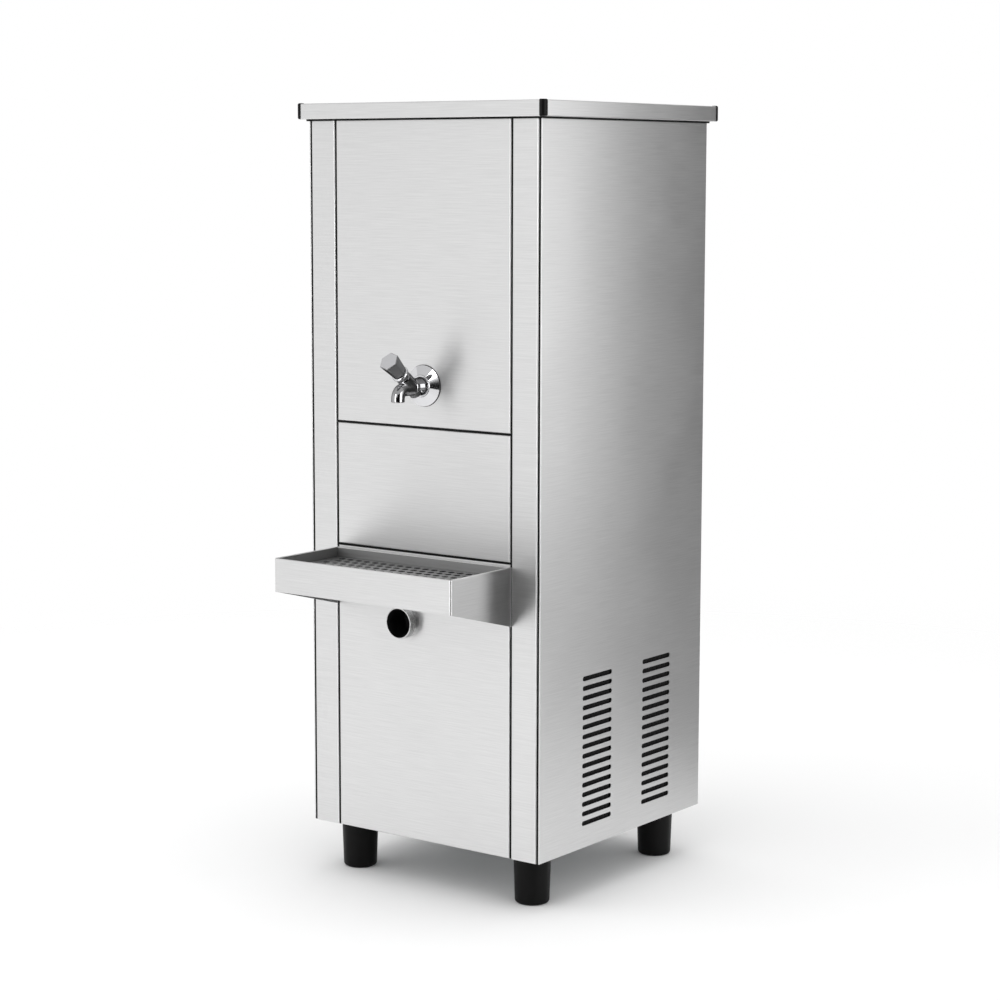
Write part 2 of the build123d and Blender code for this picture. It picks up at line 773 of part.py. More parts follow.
# Bonnet: screws into the headwork tube and ends in a collar below the knob
with BuildPart() as tap_bonnet:
    with BuildSketch(head.offset(head_above - bonnet_thread)):
        Circle(bonnet_thread_r)
    extrude(amount=bonnet_thread)
    with BuildSketch(head.offset(head_above)):
        Circle(bonnet_r)
    extrude(amount=bonnet_end - head_above)
    with BuildSketch(head.offset(bonnet_end)):
        Circle(collar_r)
    extrude(amount=collar_length)
    collar_edges = tap_bonnet.edges().filter_by(GeomType.CIRCLE).filter_by(lambda e: e.radius > head_r)
    fillet(collar_edges, collar_round)
    with BuildSketch(head.offset(head_above - bonnet_thread)):
        Circle(spindle_r + spindle_gap)
    extrude(amount=bonnet_thread + bonnet_end - head_above + collar_length, mode=Mode.SUBTRACT)
tap_bonnet.part.label = "tap_bonnet"
export_step(tap_bonnet.part, "parts/tap_bonnet.step")

# Spindle with the quarter-turn disc at its lower end
knob_from = bonnet_end + collar_length + knob_gap
knob_to = knob_from + knob_length
with BuildPart() as tap_spindle:
    with BuildSketch(head.offset(spindle_disc_at)):
        Circle(spindle_disc_r)
    extrude(amount=spindle_disc)
    with BuildSketch(head.offset(spindle_disc_at)):
        Circle(spindle_r)
    extrude(amount=knob_from + knob_bore - spindle_disc_at)
tap_spindle.part.label = "tap_spindle"
export_step(tap_spindle.part, "parts/tap_spindle.step")

# Knob: six broad flats that widen to the end
with BuildPart() as tap_knob:
    with BuildSketch(head.offset(knob_from)):
        RegularPolygon(knob_base_r, knob_sides, major_radius=False, rotation=knob_turn)
    with BuildSketch(head.offset(knob_to)):
        RegularPolygon(knob_end_r, knob_sides, major_radius=False, rotation=knob_turn)
    loft()
    fillet(tap_knob.edges().filter_by(lambda e: e.length > knob_length), knob_edge_round)
    fillet(tap_knob.faces().sort_by(Axis(head.origin, head.z_dir))[-1].edges(), knob_rim_round)
    with BuildSketch(head.offset(knob_from)):
        Circle(spindle_r + thread_gap)
    extrude(amount=knob_bore, mode=Mode.SUBTRACT)
    with BuildSketch(head.offset(knob_to)):
        RegularPolygon(knob_disc_r + thread_gap, knob_sides, major_radius=False, rotation=knob_turn)
    extrude(amount=-knob_disc + knob_disc_proud, mode=Mode.SUBTRACT)
tap_knob.part.label = "tap_knob"
export_step(tap_knob.part, "parts/tap_knob.step")

# Plate in the knob's end
with BuildPart() as tap_knob_disc:
    with BuildSketch(head.offset(knob_to - knob_disc + knob_disc_proud)):
        RegularPolygon(knob_disc_r, knob_sides, major_radius=False, rotation=knob_turn)
    extrude(amount=knob_disc)
tap_knob_disc.part.label = "tap_knob_disc"
export_step(tap_knob_disc.part, "parts/tap_knob_disc.step")

# Outlet nozzle in the spout's tip
spout_tip_y = front_y - spout_reach
spout_tip_z = tap_z - spout_tip_drop
with BuildPart() as tap_nozzle:
    with BuildSketch(Plane(origin=(tap_x, spout_tip_y, spout_tip_z))):
        Circle(nozzle_r)
        Circle(nozzle_bore, mode=Mode.SUBTRACT)
    extrude(amount=spout_tip_drop - spout_drop - spout_bend)
tap_nozzle.part.label = "tap_nozzle"
export_step(tap_nozzle.part, "parts/tap_nozzle.step")

# Supply pipe from the tank's wall into the tap's tail
tank_front = tank_y - sqrt(tank_r**2 - tap_x**2)
supply_from = front_y + tap_tail_length - tap_socket_depth
with BuildPart() as tap_supply_pipe:
    with BuildSketch(Plane(origin=(tap_x, supply_from, tap_z), x_dir=(1, 0, 0), z_dir=(0, 1, 0))):
        Circle(supply_r)
        Circle(supply_r - supply_wall, mode=Mode.SUBTRACT)
    extrude(amount=tank_front + supply_inside - supply_from)
tap_supply_pipe.part.label = "tap_supply_pipe"
export_step(tap_supply_pipe.part, "parts/tap_supply_pipe.step")

# Drip tray: gusset sides that deepen towards the panel, a hemmed rim, ledges for the grille
tray_front = front_y - tray_projection
tray_mid = (tray_front + front_y) / 2
grille_top = tray_z - grille_drop
ledge_z = grille_top - grille_sheet
with BuildPart() as drip_tray:
    with BuildSketch(Plane(origin=(-tray_half_width, 0, 0), x_dir=(0, 1, 0), z_dir=(1, 0, 0))):
        with BuildLine():
            Polyline(
                (tray_front, tray_z),
                (tray_front, tray_floor_z),
                (front_y, tray_z - tray_rear_wall),
                (front_y, tray_z),
                close=True,
            )
        make_face()
    extrude(amount=2 * tray_half_width)
    fillet(drip_tray.edges().filter_by(Axis.Z).group_by(Axis.Y)[0], tray_bend)
    with BuildSketch(Plane.XY.offset(tray_floor_z)):
        with Locations((0, tray_mid)):
            Rectangle(2 * (tray_half_width - tray_sheet), tray_projection)
    extrude(amount=-tray_rear_wall, mode=Mode.SUBTRACT)
    with BuildSketch(Plane.XY.offset(tray_floor_z + tray_sheet)):
        with Locations((0, tray_mid)):
            Rectangle(2 * (tray_half_width - tray_sheet), tray_projection - 2 * tray_sheet)
    extrude(amount=tray_front_wall - tray_sheet - tray_hem_height, mode=Mode.SUBTRACT)
    with BuildSketch(Plane.XY.offset(tray_z)):
        with Locations((0, tray_mid)):
            Rectangle(2 * (tray_half_width - tray_hem), tray_projection - 2 * tray_hem)
    extrude(amount=-tray_hem_height, mode=Mode.SUBTRACT)
    fillet(drip_tray.faces().sort_by(Axis.Z)[-1].edges(), tray_hem_round)
    with BuildSketch(Plane.XY.offset(tray_floor_z)):
        for tray_corner in (-1, 1):
            with Locations((tray_corner * tray_half_width, tray_front)):
                Rectangle(tray_groove_reach, tray_groove, rotation=-45 * tray_corner)
    extrude(amount=tray_front_wall, mode=Mode.SUBTRACT)
    with BuildSketch(Plane.XY.offset(ledge_z)):
        with Locations((0, tray_mid)):
            with GridLocations(2 * tray_half_width - 2 * tray_sheet - tray_ledge, 0, 2, 1):
                Rectangle(tray_ledge, tray_projection - 2 * tray_sheet)
    extrude(amount=-tray_ledge_sheet)
    with BuildSketch(front):
        with Locations((drain_x, nipple_z)):
            Circle(nipple_r + thread_gap)
        with Locations((0, tray_screw_z)):
            with GridLocations(tray_screw_spacing, 0, 2, 1):
                Circle(screw_r + screw_gap)
    extrude(amount=tray_sheet, mode=Mode.SUBTRACT)
drip_tray.part.label = "drip_tray"
export_step(drip_tray.part, "parts/drip_tray.step")

# Grille: a perforated plate with front and rear lips, holes in staggered rows
grille_x = 2 * (tray_half_width - tray_hem - grille_gap)
grille_y = tray_projection - 2 * (tray_hem + grille_gap)
hole_rows = int((grille_y - 2 * grille_margin) / grille_row_pitch) + 1
hole_columns = int((grille_x - 2 * grille_margin) / grille_pitch)
row_shift = grille_pitch / 2
first_x = -(grille_pitch * hole_columns - row_shift) / 2
first_y = -grille_row_pitch * (hole_rows - 1) / 2
grille_holes = [
    (first_x + grille_pitch * column + row_shift * (row % 2), first_y + grille_row_pitch * row)
    for row in range(hole_rows)
    for column in range(hole_columns)
]
with BuildPart() as tray_grille:
    with BuildSketch(Plane.XY.offset(ledge_z)):
        with Locations((0, tray_mid)):
            Rectangle(grille_x, grille_y)
            with Locations(*grille_holes):
                Circle(grille_hole_r, mode=Mode.SUBTRACT)
    extrude(amount=grille_sheet)
    with BuildSketch(Plane.XY.offset(ledge_z)):
        with Locations((0, tray_mid)):
            with GridLocations(0, grille_y - grille_sheet, 1, 2):
                Rectangle(grille_x - 2 * tray_ledge, grille_sheet)
    extrude(amount=-grille_lip)
tray_grille.part.label = "tray_grille"
export_step(tray_grille.part, "parts/tray_grille.step")

# Tray screws, one group, from inside the tray into the lower front panel
with BuildPart() as tray_screws:
    with BuildSketch(front.offset(tray_sheet)):
        with Locations((0, tray_screw_z)):
            with GridLocations(tray_screw_spacing, 0, 2, 1):
                Circle(screw_head_r)
    extrude(amount=screw_head)
    fillet(tray_screws.edges().group_by(Axis.Y)[0], screw_head_round)
    with BuildSketch(front.offset(tray_sheet)):
        with Locations((0, tray_screw_z)):
            with GridLocations(tray_screw_spacing, 0, 2, 1):
                Circle(screw_r)
    extrude(amount=-screw_length)
tray_screws.part.label = "tray_screws"
export_step(tray_screws.part, "parts/tray_screws.step")

# Drain elbow: from the tray's rear wall through the panel and down into the outlet
drain_bore = drain_r - drain_wall
nipple_end = drain_z + drain_bore
nipple_y = front_y + drain_inside / 2
nipple_mouth = front_y - tray_sheet - nipple_flange
with BuildPart() as drain_elbow:
    with BuildLine() as elbow_path:
        FilletPolyline(
            (drain_x, nipple_mouth, nipple_z),
            (drain_x, nipple_y, nipple_z),
            (drain_x, nipple_y, nipple_end),
            radius=nipple_bend,
        )
    with BuildSketch(Plane(elbow_path.line @ 0, z_dir=elbow_path.line % 0)):
        Circle(nipple_r)
        Circle(nipple_r - nipple_wall, mode=Mode.SUBTRACT)
    sweep()
    with BuildSketch(front.offset(tray_sheet)):
        with Locations((drain_x, nipple_z)):
            Circle(nipple_flange_r)
            Circle(nipple_r - nipple_wall, mode=Mode.SUBTRACT)
    extrude(amount=nipple_flange)
drain_elbow.part.label = "drain_elbow"
export_step(drain_elbow.part, "parts/drain_elbow.step")

# Drain outlet: an open stub through the lower panel, flanged behind it and closed at its end
with BuildPart() as drain_outlet:
    with BuildSketch(front.offset(drain_out)):
        with Locations((drain_x, drain_z)):
            Circle(drain_r)
    extrude(amount=-drain_out - drain_inside)
    with BuildSketch(front.offset(-sheet)):
        with Locations((drain_x, drain_z)):
            Circle(drain_r + drain_flange)
    extrude(amount=-drain_wall)
    with BuildSketch(front.offset(drain_out)):
        with Locations((drain_x, drain_z)):
            Circle(drain_bore)
    extrude(amount=-drain_out - drain_inside + drain_wall, mode=Mode.SUBTRACT)
    with BuildSketch(Plane(origin=(drain_x, nipple_y, drain_z))):
        Circle(nipple_r + thread_gap)
    extrude(amount=drain_r, mode=Mode.SUBTRACT)
    fillet(drain_outlet.edges().group_by(Axis.Y)[0], drain_wall / 4)
drain_outlet.part.label = "drain_outlet"
export_step(drain_outlet.part, "parts/drain_outlet.step")

# Insulation: a foam block round the tank, bored for the pipes
evaporator_z = tank_z + evaporator_low
evaporator_height = inlet_z - evaporator_below - evaporator_z
channel_pitch = evaporator_height / channel_count
channel_low = evaporator_z + channel_pitch / 2
channel_top = channel_low + channel_pitch * (channel_count - 1)
with BuildPart() as tank_insulation:
    with BuildSketch(Plane.XY.offset(shelf_z)):
        with Locations((0, tank_y)):
            Rectangle(2 * insulation_half, 2 * insulation_half)
    extrude(amount=tank_top - shelf_z)
    with BuildSketch(Plane.XY.offset(tank_z)):
        with Locations((0, tank_y)):
            Circle(cavity_r)
    extrude(amount=tank_top - tank_z, mode=Mode.SUBTRACT)
    with BuildSketch(Plane(origin=(0, tank_y, 0), x_dir=(1, 0, 0), z_dir=(0, -1, 0))):
        with Locations((tap_x, tap_z)):
            Circle(supply_r + hole_gap)
    extrude(amount=insulation_half, mode=Mode.SUBTRACT)
    with BuildSketch(Plane(origin=(0, tank_y, 0), x_dir=(-1, 0, 0), z_dir=(0, 1, 0))):
        with Locations((0, inlet_z)):
            Circle(valve_tail_r + hole_gap)
        with Locations((-suction_x, channel_top)):
            Circle(suction_r + hole_gap)
        with Locations((-liquid_x, channel_low)):
            Circle(liquid_r + hole_gap)
    extrude(amount=insulation_half, mode=Mode.SUBTRACT)
tank_insulation.part.label = "tank_insulation"
export_step(tank_insulation.part, "parts/tank_insulation.step")

# Tank: a round vessel hung by its rim on the insulation
tank_inner_r = tank_r - tank_wall
tank_floor = tank_z + tank_wall
with BuildPart() as tank:
    with BuildSketch(Plane(origin=(0, tank_y, 0), x_dir=(1, 0, 0), z_dir=(0, -1, 0))) as tank_half:
        with BuildLine():
            Polyline(
                (0, tank_z),
                (tank_r, tank_z),
                (tank_r, tank_top),
                (tank_r + tank_rim, tank_top),
                (tank_r + tank_rim, tank_top + tank_wall),
                (tank_inner_r, tank_top + tank_wall),
                (tank_inner_r, tank_floor),
                (0, tank_floor),
                close=True,
            )
        make_face()
        outer_corner = tank_half.vertices().sort_by_distance((tank_r, tank_z, 0))[:1]
        fillet(outer_corner, tank_round)
        inner_corner = tank_half.vertices().sort_by_distance((tank_inner_r, tank_floor, 0))[:1]
        fillet(inner_corner, tank_round - tank_wall)
    revolve(axis=Axis((0, tank_y, 0), (0, 0, 1)))
    with BuildSketch(Plane(origin=(0, tank_y, 0), x_dir=(1, 0, 0), z_dir=(0, -1, 0))):
        with Locations((tap_x, tap_z)):
            Circle(supply_r + thread_gap)
    extrude(amount=tank_r, mode=Mode.SUBTRACT)
    with BuildSketch(Plane(origin=(0, tank_y, 0), x_dir=(-1, 0, 0), z_dir=(0, 1, 0))):
        with Locations((0, inlet_z)):
            Circle(valve_tail_r + thread_gap)
    extrude(amount=tank_r, mode=Mode.SUBTRACT)
tank.part.label = "tank"
export_step(tank.part, "parts/tank.step")

# Tank lid, with a lip inside the rim and a knob
lid_z = tank_top + tank_wall
with BuildPart() as tank_lid:
    with BuildSketch(Plane.XY.offset(lid_z)):
        with Locations((0, tank_y)):
            Circle(tank_r + tank_rim)
    extrude(amount=lid_sheet)
    with BuildSketch(Plane.XY.offset(lid_z)):
        with Locations((0, tank_y)):
            Circle(tank_inner_r - lid_gap)
            Circle(tank_inner_r - lid_gap - lid_sheet, mode=Mode.SUBTRACT)
    extrude(amount=-lid_lip)
    with BuildSketch(Plane.XY.offset(lid_z + lid_sheet)):
        with Locations((0, tank_y)):
            Circle(lid_knob_r)
    extrude(amount=lid_knob)
    fillet(tank_lid.edges().group_by(Axis.Z)[-1], lid_sheet)
tank_lid.part.label = "tank_lid"
export_step(tank_lid.part, "parts/tank_lid.step")

# Evaporator: a sleeve round the tank with its channels pressed outwards
sleeve_r = tank_r + evaporator_gap
with BuildPart() as evaporator:
    with BuildSketch(Plane(origin=(0, tank_y, 0), x_dir=(1, 0, 0), z_dir=(0, -1, 0))):
        with Locations((sleeve_r, evaporator_z)):
            Rectangle(evaporator_sheet, evaporator_height, align=from_corner)
        with Locations((sleeve_r + evaporator_sheet, evaporator_z + evaporator_height / 2)):
            with GridLocations(0, channel_pitch, 1, channel_count):
                Circle(channel_r)
        with Locations((sleeve_r, evaporator_z)):
            Rectangle(channel_r, evaporator_height, align=(Align.MAX, Align.MIN), mode=Mode.SUBTRACT)
    revolve(axis=Axis((0, tank_y, 0), (0, 0, 1)))
evaporator.part.label = "evaporator"
export_step(evaporator.part, "parts/evaporator.step")

# Water inlet: a threaded connector through the upper rear panel
with BuildPart() as inlet_connector:
    with BuildSketch(back.offset(inlet_projection)):
        with Locations((0, inlet_z)):
            Circle(inlet_r)
    extrude(amount=-inlet_projection - inlet_inside)
    with BuildSketch(back):
        with Locations((0, inlet_z)):
            Circle(inlet_flange_r)
    extrude(amount=inlet_flange)
    with BuildSketch(back.offset(-sheet)):
        with Locations((0, inlet_z)):
            RegularPolygon(inlet_flange_r, 6, major_radius=False)
    extrude(amount=-inlet_flange - sheet)
    with BuildSketch(back.offset(inlet_projection)):
        with Locations((0, inlet_z)):
            Circle(inlet_bore)
    extrude(amount=-inlet_projection - inlet_inside, mode=Mode.SUBTRACT)
inlet_connector.part.label = "inlet_connector"
export_step(inlet_connector.part, "parts/inlet_connector.step")

# Float valve: tail through the tank's wall into the connector, body and hinge fork inside
tank_inner_back = tank_y + tank_inner_r
valve_end = back_y - inlet_inside / 2
valve_tail = valve_end - tank_inner_back
valve_out = Plane(origin=(0, valve_end, inlet_z), x_dir=(1, 0, 0), z_dir=(0, -1, 0))
valve_nose = tank_inner_back - valve_flange - valve_body
pivot_y = tank_inner_back - pivot_out
pivot_z = inlet_z - pivot_drop
fork_half = eye_width / 2 + fork_gap + fork_wall
with BuildPart() as float_valve:
    with BuildSketch(valve_out):
        Circle(valve_tail_r)
    extrude(amount=valve_tail + valve_flange)
    with BuildSketch(valve_out.offset(valve_tail + valve_flange / 2)):
        Circle(valve_flange_r)
    extrude(amount=valve_flange / 2)
    with BuildSketch(valve_out.offset(valve_tail + valve_flange)):
        Circle(valve_body_r)
    extrude(amount=valve_body)
    with BuildSketch(Plane(origin=(-fork_half, 0, 0), x_dir=(0, 1, 0), z_dir=(1, 0, 0))):
        with Locations((pivot_y, pivot_z)):
            Circle(eye_r)
        with Locations((pivot_y, inlet_z)):
            Rectangle(valve_nose + valve_body / 2 - pivot_y, 2 * eye_r, align=(Align.MIN, Align.CENTER))
    extrude(amount=2 * fork_half)
    with BuildSketch(Plane(origin=(0, 0, pivot_z - valve_flange_r))):
        with Locations((0, valve_nose)):
            Rectangle(eye_width + 2 * fork_gap, 2 * (valve_nose - pivot_y + 2 * eye_r))
    extrude(amount=2 * valve_flange_r + pivot_drop, mode=Mode.SUBTRACT)
    with BuildSketch(Plane(origin=(-fork_half, 0, 0), x_dir=(0, 1, 0), z_dir=(1, 0, 0))):
        with Locations((pivot_y, pivot_z)):
            Circle(pivot_r)
    extrude(amount=2 * fork_half)
    with BuildSketch(valve_out):
        Circle(valve_bore)
    extrude(amount=valve_tail + valve_flange, mode=Mode.SUBTRACT)
float_valve.part.label = "float_valve"
export_step(float_valve.part, "parts/float_valve.step")

# Float arm: an eye on the valve's pin and a rod, hanging at its low stop
arm_dir = (0, -cos(radians(float_rest)), -sin(radians(float_rest)))
arm = Plane(origin=(0, pivot_y, pivot_z), x_dir=(1, 0, 0), z_dir=arm_dir)
with BuildPart() as float_arm:
    with BuildSketch(Plane(origin=(-eye_width / 2, 0, 0), x_dir=(0, 1, 0), z_dir=(1, 0, 0))):
        with Locations((pivot_y, pivot_z)):
            Circle(eye_r)
    extrude(amount=eye_width)
    with BuildSketch(arm):
        Circle(float_rod_r)
    extrude(amount=float_reach - float_ball_r / 2)
    with BuildSketch(Plane(origin=(-eye_width / 2, 0, 0), x_dir=(0, 1, 0), z_dir=(1, 0, 0))):
        with Locations((pivot_y, pivot_z)):
            Circle(pivot_r + pivot_gap)
    extrude(amount=eye_width, mode=Mode.SUBTRACT)
float_arm.part.label = "float_arm"
export_step(float_arm.part, "parts/float_arm.step")

# Float ball, socketed on the rod
with BuildPart() as float_ball:
    with Locations(arm.offset(float_reach).location):
        Sphere(float_ball_r)
    with BuildSketch(arm):
        Circle(float_rod_r + thread_gap)
    extrude(amount=float_reach - float_ball_r / 2, mode=Mode.SUBTRACT)
float_ball.part.label = "float_ball"
export_step(float_ball.part, "parts/float_ball.step")

# Compressor lower shell with its foot plate, then the upper shell: two drawn cups
plate_z = pan_top + grommet_height
shell_z = plate_z + foot_sheet
shell_joint = shell_z + compressor_lower
shell_at = (compressor_x, compressor_mid)
with BuildPart() as compressor_lower_shell:
    with BuildSketch(Plane.XY.offset(shell_z)):
        with Locations(shell_at):
            Circle(compressor_r)
    extrude(amount=compressor_lower)
    fillet(compressor_lower_shell.edges().group_by(Axis.Z)[0], compressor_round / 2)
    with BuildSketch(Plane.XY.offset(shell_z + compressor_wall)):
        with Locations(shell_at):
            Circle(compressor_r - 2 * compressor_wall)
    extrude(amount=compressor_lower, mode=Mode.SUBTRACT)
    with BuildSketch(Plane.XY.offset(plate_z)):
        with Locations(shell_at):
            RectangleRounded(foot_plate_width, foot_plate_depth, grommet_r)
            with GridLocations(foot_bolt_width, foot_bolt_depth, 2, 2):
                Circle(stud_r + thread_gap, mode=Mode.SUBTRACT)
    extrude(amount=foot_sheet)
compressor_lower_shell.part.label = "compressor_lower_shell"
export_step(compressor_lower_shell.part, "parts/compressor_lower_shell.step")

with BuildPart() as compressor_upper_shell:
    with BuildSketch(Plane.XY.offset(shell_joint)):
        with Locations(shell_at):
            Circle(compressor_r)
    extrude(amount=compressor_upper)
    fillet(compressor_upper_shell.edges().group_by(Axis.Z)[-1], compressor_round)
    with BuildSketch(Plane.XY.offset(shell_joint)):
        with Locations(shell_at):
            Circle(compressor_r - 2 * compressor_wall)
    extrude(amount=compressor_upper - compressor_round, mode=Mode.SUBTRACT)
    with BuildSketch(Plane.XY.offset(shell_joint)):
        with Locations(shell_at):
            Circle(compressor_r + compressor_wall)
            Circle(compressor_r, mode=Mode.SUBTRACT)
    extrude(amount=2 * compressor_wall)
compressor_upper_shell.part.label = "compressor_upper_shell"
export_step(compressor_upper_shell.part, "parts/compressor_upper_shell.step")

# Rubber grommets under the foot plate, each with its stud, one group
with BuildPart() as compressor_grommets:
    with BuildSketch(Plane.XY.offset(pan_top)):
        with Locations(shell_at):
            with GridLocations(foot_bolt_width, foot_bolt_depth, 2, 2):
                Circle(grommet_r)
    extrude(amount=grommet_height)
    with BuildSketch(Plane.XY.offset(pan_z)):
        with Locations(shell_at):
            with GridLocations(foot_bolt_width, foot_bolt_depth, 2, 2):
                Circle(stud_r)
    extrude(amount=sheet + grommet_height + 2 * foot_sheet)
compressor_grommets.part.label = "compressor_grommets"
export_step(compressor_grommets.part, "parts/compressor_grommets.step")

# Terminal box on the compressor's front
terminal_back = compressor_mid - sqrt(compressor_r**2 - (terminal_depth / 2) ** 2)
with BuildPart() as terminal_box:
    with BuildSketch(Plane.XY.offset(shell_z + terminal_low)):
        with Locations((compressor_x, terminal_back)):
            Rectangle(terminal_width, terminal_depth, align=(Align.CENTER, Align.MAX))
        with Locations((compressor_x, terminal_back - sheet)):
            Rectangle(terminal_depth, 2 * compressor_r, align=upward)
        with Locations(shell_at):
            Circle(compressor_r + thread_gap, mode=Mode.SUBTRACT)
            with Locations((0, compressor_r)):
                Rectangle(2 * compressor_r, 2 * compressor_r, mode=Mode.SUBTRACT)
    extrude(amount=compressor_lower - terminal_low)
terminal_box.part.label = "terminal_box"
export_step(terminal_box.part, "parts/terminal_box.step")

# Condenser tube: level passes joined by return bends in one upright plane
condenser_x = inner_x - condenser_gap - condenser_thick / 2
condenser_from = vent_y - condenser_length / 2
condenser_to = vent_y + condenser_length / 2
condenser_z = pan_top + condenser_low
pass_pitch = condenser_height / condenser_passes
pass_top = condenser_z + condenser_height - pass_pitch / 2
pass_low = condenser_z + pass_pitch / 2
tube_from = condenser_from - condenser_end
tube_to = condenser_to + condenser_end
discharge_y = back_y - discharge_behind
tube_end = discharge_y - pipe_bend - pipe_joint
with BuildPart() as condenser_tube:
    with BuildLine(Plane(origin=(condenser_x, 0, 0), x_dir=(0, 1, 0), z_dir=(1, 0, 0))) as tube_path:
        Line((tube_end, pass_top), (tube_to, pass_top))
        for tube_pass in range(condenser_passes):
            pass_z = pass_top - tube_pass * pass_pitch
            if tube_pass % 2 == 0:
                Line((tube_to, pass_z), (tube_from, pass_z))
                CenterArc((tube_from, pass_z - pass_pitch / 2), pass_pitch / 2, 90, 180)
            else:
                Line((tube_from, pass_z), (tube_to, pass_z))
                if tube_pass < condenser_passes - 1:
                    CenterArc((tube_to, pass_z - pass_pitch / 2), pass_pitch / 2, 90, -180)
        Line((tube_to, pass_low), (tube_end, pass_low))
    with BuildSketch(Plane(origin=(condenser_x, tube_end, pass_top), x_dir=(1, 0, 0), z_dir=(0, -1, 0))):
        Circle(condenser_tube_r)
    sweep()
condenser_tube.part.label = "condenser_tube"
export_step(condenser_tube.part, "parts/condenser_tube.step")

# Condenser fins, one group of plates across the tubes
fin_pitch = (condenser_length - fin_sheet) / (condenser_fins_count - 1)
with BuildPart() as condenser_fins:
    for fin in range(condenser_fins_count):
        fin_y = condenser_from + fin * fin_pitch
        with BuildSketch(Plane(origin=(condenser_x, fin_y, 0), x_dir=(-1, 0, 0), z_dir=(0, 1, 0))):
            with Locations((0, condenser_z + condenser_height / 2)):
                Rectangle(condenser_thick, condenser_height)
                with GridLocations(0, pass_pitch, 1, condenser_passes):
                    Circle(condenser_tube_r + fin_hole_gap, mode=Mode.SUBTRACT)
    extrude(amount=fin_sheet)
condenser_fins.part.label = "condenser_fins"
export_step(condenser_fins.part, "parts/condenser_fins.step")

# Fan shroud: a plate on the condenser's inner face, with a foot on the base pan
shroud_x = condenser_x - condenser_thick / 2
fan_z = condenser_z + condenser_height / 2
shroud_height = condenser_z + condenser_height - pan_top
with BuildPart() as fan_shroud:
    with BuildSketch(Plane(origin=(shroud_x, 0, 0), x_dir=(0, 1, 0), z_dir=(1, 0, 0))):
        with Locations((vent_y, pan_top)):
            Rectangle(condenser_length, shroud_height, align=upward)
        with Locations((vent_y, fan_z)):
            Circle(fan_r + fan_tip_gap, mode=Mode.SUBTRACT)
    extrude(amount=-shroud_sheet)
    with BuildSketch(Plane(origin=(shroud_x, 0, pan_top))):
        with Locations((0, vent_y)):
            Rectangle(condenser_thick, condenser_length, align=(Align.MIN, Align.CENTER))
    extrude(amount=shroud_sheet)
    ring_at = (shroud_x - shroud_sheet, vent_y, fan_z)
    with BuildSketch(Plane(origin=ring_at, x_dir=(0, 1, 0), z_dir=(1, 0, 0))):
        Circle(fan_r + fan_tip_gap + shroud_sheet)
        Circle(fan_r + fan_tip_gap, mode=Mode.SUBTRACT)
    extrude(amount=-shroud_flange)
fan_shroud.part.label = "fan_shroud"
export_step(fan_shroud.part, "parts/fan_shroud.step")

# Fan blade: hub with its shaft and pitched blades
hub_x = shroud_x - shroud_sheet - fan_gap
fan_plane = Plane(origin=(hub_x, vent_y, fan_z), x_dir=(0, 1, 0), z_dir=(-1, 0, 0))
motor_face = fan_hub + fan_gap
with BuildPart() as fan_blade:
    with BuildSketch(fan_plane):
        Circle(fan_hub_r)
    extrude(amount=fan_hub)
    with BuildSketch(fan_plane.offset(fan_hub)):
        Circle(fan_shaft_r)
    extrude(amount=fan_gap + fan_shaft_in)
    for blade in range(fan_blades):
        blade_turn = radians(360 / fan_blades * blade)
        radial = fan_plane.x_dir * cos(blade_turn) + fan_plane.y_dir * sin(blade_turn)
        along = fan_plane.y_dir * cos(blade_turn) - fan_plane.x_dir * sin(blade_turn)
        chord = along * cos(radians(fan_blade_pitch)) + fan_plane.z_dir * sin(radians(fan_blade_pitch))
        blade_root = fan_plane.origin + radial * fan_hub_r / 2 + fan_plane.z_dir * fan_hub / 2
        with BuildSketch(Plane(origin=blade_root, x_dir=chord, z_dir=radial)):
            Rectangle(fan_blade_chord, fan_blade_sheet)
        extrude(amount=fan_r - fan_hub_r / 2)
fan_blade.part.label = "fan_blade"
export_step(fan_blade.part, "parts/fan_blade.step")

# Fan motor on an upright bracket
motor_end = motor_face + motor_length
bracket_x = hub_x - motor_end
with BuildPart() as fan_motor:
    with BuildSketch(fan_plane.offset(motor_face)):
        Circle(motor_r)
    extrude(amount=motor_length)
    fillet(fan_motor.edges().group_by(Axis.X)[-1], motor_round)
    with BuildSketch(fan_plane.offset(motor_end)):
        with Locations((0, 0)):
            Rectangle(bracket_width, 2 * motor_r)
    extrude(amount=bracket_sheet)
    with BuildSketch(Plane(origin=(bracket_x, vent_y, pan_top))):
        Rectangle(bracket_sheet, bracket_width, align=(Align.MAX, Align.CENTER))
    extrude(amount=fan_z - pan_top)
    with BuildSketch(Plane(origin=(bracket_x, vent_y, pan_top))):
        Rectangle(bracket_foot, bracket_width, align=(Align.MIN, Align.CENTER))
    extrude(amount=bracket_sheet)
    with BuildSketch(fan_plane.offset(motor_face)):
        Circle(fan_shaft_r + fan_shaft_gap)
    extrude(amount=fan_shaft_in + fan_gap, mode=Mode.SUBTRACT)
fan_motor.part.label = "fan_motor"
export_step(fan_motor.part, "parts/fan_motor.step")

# Discharge pipe: compressor to the condenser's top
discharge_z = shell_z + discharge_at
shell_back = compressor_mid + compressor_r
with BuildPart() as discharge_pipe:
    with BuildLine() as discharge_path:
        FilletPolyline(
            (compressor_x, shell_back, discharge_z),
            (compressor_x, discharge_y, discharge_z),
            (compressor_x, discharge_y, pass_top),
            (condenser_x, discharge_y, pass_top),
            (condenser_x, tube_end, pass_top),
            radius=pipe_bend,
        )
    with BuildSketch(Plane(discharge_path.line @ 0, z_dir=discharge_path.line % 0)):
        Circle(condenser_tube_r)
    sweep()
discharge_pipe.part.label = "discharge_pipe"
export_step(discharge_pipe.part, "parts/discharge_pipe.step")

